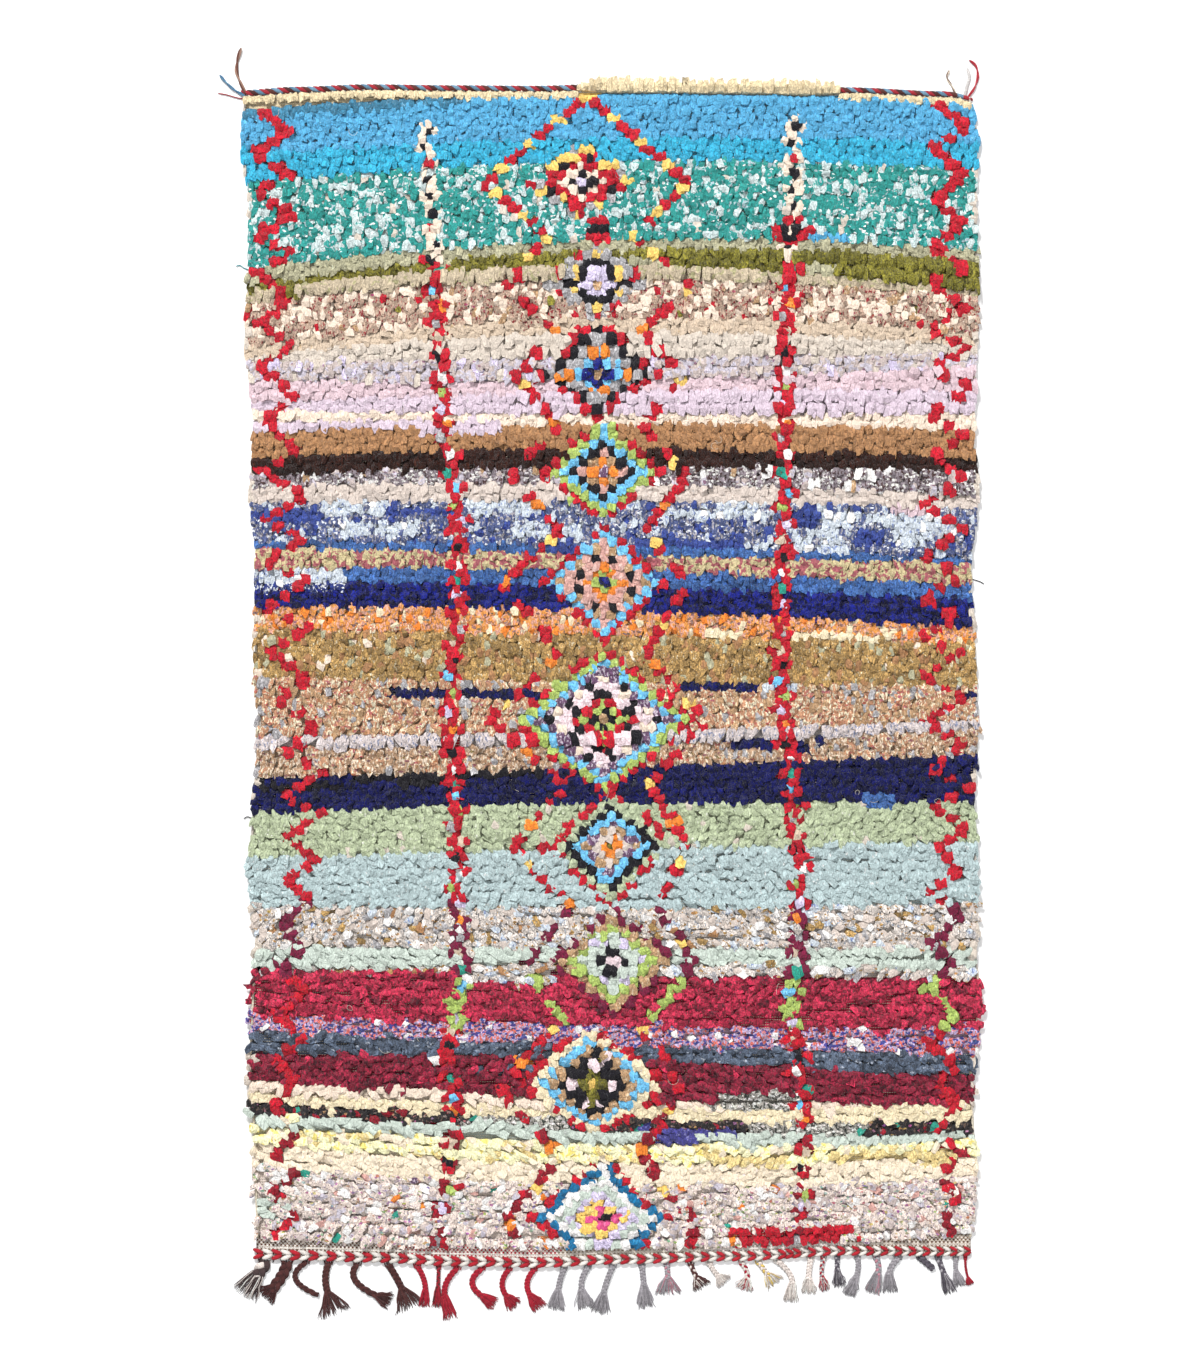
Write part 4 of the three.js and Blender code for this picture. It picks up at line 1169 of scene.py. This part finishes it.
def selvedge(name, edge, inset):
    """A wrapped cord along one side: its half width rises and falls once for each wrap."""
    along = np.linspace(SELVEDGE_FOOT, SELVEDGE_HEAD, WRAP_STATIONS)
    wrap = np.abs(np.sin(np.arange(WRAP_STATIONS) * np.pi / WRAP_STEPS))
    path = raised((edge(along) + inset + 0.8 * np.sin(along / 37), along), 3.2)[None]
    size = 2.5 + 0.5 * wrap
    pale = np.where(np.sin(along / 210)[:, None] > -0.3, linear("e2d6c0"), linear("c9bfb4"))
    # Between the wraps, where the cord is thinner, the colour falls to three quarters: painted shade.
    dye = pale * (0.75 + 0.25 * wrap[:, None])
    yarns(name, path, size, size, 6, dye, CORD_YARN, "warp_yarn", "pile_field", painted_depth_shade=0)


selvedge("left_selvedge", left_edge, 4.0)
selvedge("right_selvedge", right_edge, -4.0)

# %% [markdown]
# ## The flat-woven strip
#
# At the foot the weaver stopped knotting and wove a few flat picks in two colours. Passing over one
# warp and under the next, they draw small checks: brown and white at one side, red and white next,
# then greys. The strip is a closed slab with one cell to a check. Each cell is painted, and its
# corners rise and dip by turns as the yarn goes over and under.

# %% The flat-woven strip
STRIP_OVERHANG = 9.5
STRIP_WIDTH = 1440
CHECK_MM = 4.0
checks_across = int(STRIP_WIDTH / CHECK_MM)
checks_along = 10
foot_left, foot_right = left_edge(-1150), right_edge(-1150)
strip_u, strip_v = np.meshgrid(np.linspace(0, 1, checks_across + 1), np.linspace(0, 1, checks_along + 1),
                               indexing="ij")
strip_across = foot_left + 2 + strip_u * (foot_right - foot_left - 4)
strip_edge = foot_cord(strip_across) + STRIP_DEPTH - 0.6
strip_along = strip_edge - (1 - strip_v) * (STRIP_DEPTH + STRIP_OVERHANG - 0.6)
i, j = np.indices(strip_u.shape)
weave = 0.5 * np.cos(np.pi * i) * np.cos(np.pi * j)

STRIP_YARNS = [  # from where across the cloth, then the two yarns that make the checks
    (-760, "6a4032", "fdf5ec"), (-424, "b82a3a", "fbf0ea"), (-104, "9c8876", "f2e8dc"),
    (190, "b8a49e", "fff6f0"), (470, "7c5c48", "f4e8dc")]
i, j = np.indices((checks_across, checks_along))
cell_across = strip_across[:-1, :-1] + CHECK_MM / 2 + rng.normal(0, 9, i.shape)
which = np.searchsorted([row[0] for row in STRIP_YARNS], cell_across.ravel()) - 1
dark, light = (np.array([linear(row[k]) for row in STRIP_YARNS])[which] for k in (1, 2))
is_dark = ((i + j) % 2 == 0) & (j % 6 != 5)
picks = np.where(is_dark.reshape(-1, 1), dark, light)
picks = picks * (0.75 + 0.25 * rng.random(len(picks)))[:, None]
strip = slab("flat_woven_strip", strip_across, strip_along, 3.4 + weave, 0.5 - 0.4 * weave,
             [picks, picks], "cfc6ba")
part_of(strip, "warp_yarn", "end_strip_and_braids")

# %% [markdown]
# ## The twined edgings
#
# Two yarns are twined round the warps at the foot, one red and one white. Each half turn shows as a
# slanted drop, and a second row that slants the other way makes arrowheads that point to the right.
# A drop is a short tube that swells in its middle. At the head of the rug a single row of twining
# in red and steel blue runs along the edge, half hidden by the pile.

# %% The twined edging at the foot
def drops(across, half_run, start_along, aim_along, floor, crest, half_width):
    """Spines and half sizes of slanted drops: straight from start to aim, arched by a half sine."""
    s = np.linspace(0, 1, 6)
    start, aim = (across - half_run, start_along), (across + half_run, aim_along)
    plan = tuple(a[:, None] * (1 - s) + b[:, None] * s for a, b in zip(start, aim))
    paths = raised(plan, floor + 1.6 + (crest - 1.6) * np.sin(np.pi * np.clip(s, 0.06, 0.94)) ** 0.6)
    swell = half_width * np.sin(np.pi * (0.10 + 0.80 * s)) ** 0.55
    return paths, np.broadcast_to(swell, paths.shape[:2])


DARK_RED, OFF_WHITE, TAN_KNOT = linear("b32531"), linear("e9e2da"), linear("c9a27c")
MIDDLE_PITCH = 16.5
TURN_PITCH = (-700, 0, 700), (18.5, MIDDLE_PITCH, 13.5)  # across, and the pitch of the turns there
turns_at = [foot_left + 6]
while turns_at[-1] < foot_right - 10:
    turns_at.append(turns_at[-1] + float(np.interp(turns_at[-1], *TURN_PITCH)))
turns_at = np.array(turns_at)
pitch = np.gradient(turns_at)
red_turn = np.arange(len(turns_at)) % 2 == 0
edging_tint = np.where(red_turn[:, None], DARK_RED, OFF_WHITE)
for knot_across_foot, reach, colour in ((356, 13, DARK_RED), (580, 6, TAN_KNOT)):
    edging_tint[np.abs(turns_at - knot_across_foot) < reach] = colour
middle = foot_cord(turns_at)
rows = []
for side in (1, -1):
    path, size = drops(turns_at, pitch * 0.55, middle + side * 9.0, middle + side * 1.2, 4.4, 3.4, 4.4)
    rows.append((path, size * (pitch / MIDDLE_PITCH)[:, None],
                 edging_tint * rng.uniform(0.85, 1.05, (len(turns_at), 1))))
paths, sizes, tints = (np.concatenate(column) for column in zip(*rows))
yarns("bottom_edging_twining", paths, sizes, sizes * 0.62, 6, tints, CORD_YARN,
      "twined_cord", "bottom_edging")

# %% [markdown]
# The cord at the head is one row of such drops, with a hem stitch along its inner side that holds
# the first row of knots.

# %% The twined edging at the head
def in_turn(codes, total):
    """The colours of the codes, one after another, over and over."""
    return np.array([linear(code) for code in codes])[np.arange(total) % len(codes)]


HEAD_CORD_ALONG = 1160
HEAD_TURN_PITCH, STITCH_PITCH = 12.0, 7.0
head_left, head_right = left_edge(HEAD_CORD_ALONG), right_edge(HEAD_CORD_ALONG)
turns = np.arange(head_left + 8, head_right - 8, HEAD_TURN_PITCH)
middle = top_edge(turns) - TOP_CORD_WIDTH / 2 + 1.5
turn_path, turn_size = drops(turns, 13, middle + 4.0, middle - 4.0, 0.2, 3.4, 4.6)
turn_tint = in_turn(("9c2c36", "4a2a28", "5a7c94", "9c2c36", "5a3430", "6a8ca4"), len(turns))
stitches = np.arange(head_left + 4, head_right - 4, STITCH_PITCH)
middle = top_edge(stitches) - TOP_CORD_WIDTH + 2.0 + 1.2 * np.sin(stitches)
stitch_path, stitch_size = drops(stitches, 2.5, middle + 2.5, middle - 2.5, 1.0, 3.0, 1.9)
stitch_tint = in_turn(("3c2420", "e4d8c4", "5a382e"), len(stitches))
paths, sizes = np.concatenate([turn_path, stitch_path]), np.concatenate([turn_size, stitch_size])
tints = np.concatenate([turn_tint, stitch_tint])
yarns("top_edging_twining", paths, sizes, sizes * 0.7, 6, tints, CORD_YARN,
      "twined_cord", "top_edging_and_ties")

# %% [markdown]
# ## The fringe
#
# The warp ends that leave the strip are gathered and plaited in threes, and most plaits end in a
# small tassel. The table gives each plait's place, how it bends and the size of its tassel, and the
# yarns it is made of. A plait is three strands that swing from side to side and over each other: in
# a third of a turn each, aside by a sine and up by a sine of twice the angle. All strands of all
# plaits are one array of tubes.

# %% Plaits
PLAITS = [  # across, bend, end, length of the plait, of the tassel, its spread, width, the yarns
    (-692, -10, -20, 30, 54, 40, 30, "mwm"), (-650, -12, -34, 58, 26, 34, 26, "bbb"),
    (-612, -22, 24, 66, 0, 0, 13, "bbb"), (-568, -6, 0, 64, 50, 50, 16, "bbb"),
    (-510, -4, 44, 66, 32, 26, 15, "bbb"), (-448, 16, 29, 52, 46, 44, 16, "bbb"),
    (-390, 13, 16, 52, 36, 16, 13, "rrr"), (-347, -1, -2, 44, 42, 14, 9, "rrb"),
    (-310, -22, -24, 60, 50, 20, 14, "rrr"), (-260, -20, 4, 58, 34, 20, 14, "rrr"),
    (-206, -14, -2, 58, 30, 24, 13, "rrr"), (-156, -14, -6, 54, 38, 24, 13, "rrr"),
    (-96, -8, -12, 46, 44, 26, 13, "ggg"), (-48, -12, -12, 48, 42, 26, 13, "ggg"),
    (2, -12, -20, 58, 44, 28, 13, "ggg"), (60, 2, 4, 40, 52, 26, 13, "ggg"),
    (110, 1, 2, 28, 38, 38, 12, "gpg"), (158, 6, 14, 30, 28, 30, 12, "bwb"),
    (196, 8, 20, 28, 22, 24, 12, "www"), (260, 10, 10, 34, 28, 26, 12, "wwr"),
    (294, 10, 20, 26, 30, 30, 12, "wwy"), (332, 23, 29, 46, 42, 20, 13, "www"),
    (398, -3, -4, 42, 34, 22, 13, "www"), (424, -4, -2, 42, 30, 14, 10, "wgr"),
    (452, -1, 0, 28, 38, 16, 11, "ddg"), (492, 1, -4, 42, 44, 18, 12, "ggg"),
    (530, 4, 2, 34, 46, 22, 13, "gpg"), (574, -14, -18, 34, 42, 22, 14, "ggg"),
    (618, 14, 26, 22, 0, 0, 15, "ddd"), (654, 6, 12, 34, 46, 20, 13, "dgd"),
    (689, -1, 1, 30, 34, 20, 10, "ggg"), (708, 1, 7, 44, 16, 10, 6, "rrr"),
]
FRINGE_YARNS = {  # brown, red, grey, white, mole, pink, dark grey, yellow
    letter: linear(code) for letter, code in (
        ("b", "55302e"), ("r", "b02034"), ("g", "a6a1a6"), ("w", "f1e4dc"), ("m", "4c3c3c"),
        ("p", "c98a98"), ("d", "605a64"), ("y", "e6c66a"))}
STRANDS = 3
PLAIT_STATIONS = 28
plait_table = np.array([row[:7] for row in PLAITS], dtype=float)
at, bend, end, plait_length, tassel_length, spread, plait_width = plait_table.T
plait_start = foot_cord(at) - STRIP_OVERHANG


def plait_middle(s):
    """The middle line of every plait at shares s of its length: a curve of the second order.

    It runs from the strip by way of the bend to the end, after a short straight root."""
    root = plait_start - 5
    first = np.stack([at, root], axis=1)[:, None]
    second = np.stack([at + 2 * bend - end / 2, root - plait_length / 2], axis=1)[:, None]
    third = np.stack([at + end, root - plait_length], axis=1)[:, None]
    s = np.asarray(s)[None, :, None]
    curve = (1 - s) ** 2 * first + 2 * s * (1 - s) * second + s ** 2 * third
    way = 2 * (1 - s) * (second - first) + 2 * s * (third - second)
    return curve, way / np.linalg.norm(way, axis=2, keepdims=True)


def plait_strands():
    """Three strands a plait: aside by half the width x sin, up by sin of twice the angle."""
    s = np.linspace(0, 1, PLAIT_STATIONS)
    curve, way = plait_middle(s)
    turns = (plait_length + 8) / (plait_width * 1.75)
    strands = []
    for k in range(STRANDS):
        angle = 2 * np.pi * (turns[:, None] * s + k / STRANDS)
        plan = curve + to_side(way) * (plait_width[:, None] * 0.27 * np.sin(angle))[..., None]
        path = raised(plan, 4.0 + 1.7 * np.sin(2 * angle))
        size = plait_width[:, None] * 0.215 * np.where(s > 0.93, 0.82, 1.0)
        tint = np.array([FRINGE_YARNS[row[7][k]] for row in PLAITS])
        strands.append((path, size, tint * rng.uniform(0.8, 1.12, (len(PLAITS), 1))))
    return (np.concatenate(column) for column in zip(*strands))


paths, sizes, tints = plait_strands()
flat = np.minimum(sizes * 0.85, 2.2)
# Painted shade: a strand darkens by up to a half where it passes low, under the others.
yarns("fringe_plaits", paths, sizes, flat, 8, tints, SPUN_YARN,
      "warp_yarn", "end_strip_and_braids", painted_depth_shade=0.5)

# %% [markdown]
# Each plait starts as a bundle of warps that comes out from under the twining, and ends in loose
# yarns that fan out. Bundles and tassels are the same thing, thin tubes with a little wave in them.

# %% Roots and tassels
def loose_yarns(per_plait, from_root):
    """Yarns that spread from one end of each plait: straight ahead, turned by their share of the fan.

    A yarn lies its share x half the fan's width to the side, which widens with the distance, plus a
    wave. A tassel's yarns sink to the floor, and a root's are level."""
    who = np.repeat(np.arange(len(PLAITS)) if from_root else np.flatnonzero(tassel_length), per_plait)
    total = len(who)
    share = np.tile(np.linspace(-1, 1, per_plait), total // per_plait) + rng.normal(0, 0.08, total)
    s = np.linspace(0, 1, 7)
    neck = plait_width[who] * 0.40
    if from_root:
        point = np.stack([at, plait_start - 7], axis=1)[who]
        heading = np.tile([0.0, 1.0], (total, 1))
        length, fan, start = np.full(total, 14.0), plait_width[who] * 0.62, -2
    else:
        curve, way = plait_middle([0.0, 1.0])
        point, heading = curve[who, 1], way[who, 1]
        length, fan, start = tassel_length[who] * rng.uniform(0.72, 1.03, total), spread[who] * 0.68, -6
    wave_height = rng.normal(0, 2.4, (total, 1))
    wave = wave_height * np.sin(s * rng.uniform(4, 10, (total, 1)) + rng.uniform(0, 6, (total, 1)))
    over = share[:, None] * (neck[:, None] + (fan - neck)[:, None] * s ** 0.9)
    stack = rng.uniform(-1, 1, (total, 1))
    if from_root:
        level = 2.4 + 0.5 * stack
    else:
        over = over + wave * s
        level = 3.4 - (3.4 - 1.6) * s + stack * (1.9 * (1 - 0.5 * s)) + 0.7
    ahead = length[:, None] * s + start
    plan = point[:, None] + heading[:, None] * ahead[..., None] + to_side(heading)[:, None] * over[..., None]
    tint = np.array([FRINGE_YARNS[PLAITS[i][7][k % STRANDS]] for k, i in enumerate(who)])
    return raised(plan, np.maximum(level, 1.3)), np.minimum(tint * rng.uniform(0.6, 1.25, (total, 1)), 0.92)


taper = np.array([1.0, 1.0, 1.0, 0.95, 0.9, 0.8, 0.5])
for name, per_plait, from_root, wide, high, sides in (
        ("fringe_roots", 6, True, 1.35, 1.1, 5), ("fringe_tassels", 44, False, 1.3 * taper, 1.2 * taper, 4)):
    paths, tints = loose_yarns(per_plait, from_root)
    yarns(name, paths, wide, high, sides, tints, SPUN_YARN, "warp_yarn", "end_strip_and_braids")

# %% [markdown]
# ## Loose ends at the two corners, and strays
#
# At the head's corners the cords end in short tails: a twisted warp end and two yarns at the left, a
# red cord, a folded strip and a curl at the right. A few threads hang from the sides, and lint lies
# about on the pile. All of them are tubes along short routes, the thicker ones as two strands that
# turn about each other.

# %% Loose ends and lint
TIES = [  # half width, height, the colour of each strand, and the route
    (2.3, 2.4, ("6a4238", "a08070"), [(-733, 1158), (-744, 1180), (-752, 1202), (-750, 1226), (-743, 1250)]),
    (1.8, 2.2, ("5f86a0", "4f7a9c"), [(-732, 1152), (-756, 1166), (-774, 1182), (-786, 1196)]),
    (1.3, 1.7, ("a8323c",), [(-732, 1148), (-748, 1150), (-774, 1157), (-790, 1160)]),
    (1.7, 2.0, ("b02a36", "b8404a"), [(712, 1150), (727, 1172), (733, 1196), (728, 1216), (716, 1226)]),
    (3.6, 1.6, ("d9d5d2",), [(706, 1152), (711, 1172), (716, 1192), (712, 1210)]),
    (1.4, 1.8, ("7d6458", "d8c8b4"), [(690, 1156), (680, 1176), (671, 1192), (676, 1206)]),
    (1.1, 1.4, ("3d9aa0",), [(-728, 806), (-738, 810), (-746, 815), (-754, 813)]),
    (1.0, 1.4, ("2a2830",), [(-716, -296), (-724, -292), (-731, -290), (-738, -294)]),
    (1.0, 1.4, ("2a2830",), [(722, 186), (732, 183), (740, 180), (746, 176)]),
]


def smooth_route(route, stations):
    """A smooth curve through a route's points: between two of them, the cubic that has their places
    and their slopes, where a slope is that of the parabola through a point and its neighbours."""
    points = np.array(route, dtype=float)
    knots = np.concatenate([[0], np.cumsum(np.linalg.norm(np.diff(points, axis=0), axis=1))])
    at = np.linspace(0, knots[-1], stations)
    slope = np.gradient(points, knots, axis=0)
    k = np.clip(np.searchsorted(knots, at, side="right") - 1, 0, len(knots) - 2)
    h = (knots[k + 1] - knots[k])[:, None]
    t = ((at - knots[k]) / h[:, 0])[:, None]
    return ((2 * t ** 3 - 3 * t ** 2 + 1) * points[k] + (t ** 3 - 2 * t ** 2 + t) * h * slope[k]
            + (3 * t ** 2 - 2 * t ** 3) * points[k + 1] + (t ** 3 - t ** 2) * h * slope[k + 1])


TIE_STATIONS = 30
near_end = np.arange(TIE_STATIONS) > 27
rows = []
for half_width, height, codes, route in TIES:
    middle = smooth_route(route, TIE_STATIONS)
    way = np.gradient(middle, axis=0)
    aside = to_side(way) / np.linalg.norm(way, axis=1)[:, None]
    reach = half_width * 0.75 * (len(codes) - 1)
    flat = min(height, half_width * 0.9 + 0.4)
    for k, code in enumerate(codes):
        angle = np.linspace(0, 9, TIE_STATIONS) + np.pi * k
        plan = middle + aside * (reach * np.sin(angle))[:, None]
        path = raised(plan, height + 0.2 + reach * 0.6 * (1 + np.cos(angle)))
        rows.append((path, half_width * np.where(near_end, 0.6, 1.0), flat * np.where(near_end, 0.7, 1.0),
                     linear(code)))
paths, wide, high, tints = (np.array(column) for column in zip(*rows))
yarns("corner_ties", paths, wide, high, 6, tints, SPUN_YARN, "warp_yarn", "top_edging_and_ties")

LINT = 60
LINT_LEVEL = 16.5
lint_at = np.stack([rng.uniform(-690, 690, LINT), rng.uniform(-1080, 1120, LINT)], axis=1)
s = np.linspace(-1, 1, 7)
turn = rng.uniform(0, np.pi, (LINT, 1)) + rng.normal(0, 0.9, (LINT, 1)) * s
length = rng.uniform(5, 16, (LINT, 1))
plan = lint_at[:, :1] + length * s * np.cos(turn), lint_at[:, 1:] + length * s * np.sin(turn)
paths = raised(plan, LINT_LEVEL)
tints = np.tile(linear("e8dfd0"), (LINT, 1))
yarns("lint_threads", paths, 0.45, 0.45, 4, tints, SPUN_YARN, "warp_yarn")

# %% [markdown]
# ## The floor, and the end of the script
#
# The floor is only there to be seen under the rug, so it is marked as a stage.

# %% The floor, the sizes and the end
floor_finish = Nodes("pale_floor")
floor_colour = floor_finish.mix(floor_finish.noise(3.0), (0.92, 0.92, 0.92), (0.93, 0.93, 0.93))
floor_finish.finish(floor_colour, Roughness=0.9, Specular_IOR_Level=0.1)
corners = np.array([(-1, -1), (1, -1), (1, 1), (-1, 1)]) * 12000.0
floor_points = np.column_stack([corners, np.full(4, -0.5)])
floor = build("pale_floor", floor_points, [np.array([(0, 1, 2, 3)])], floor_finish.material)
floor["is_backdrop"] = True

low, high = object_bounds()
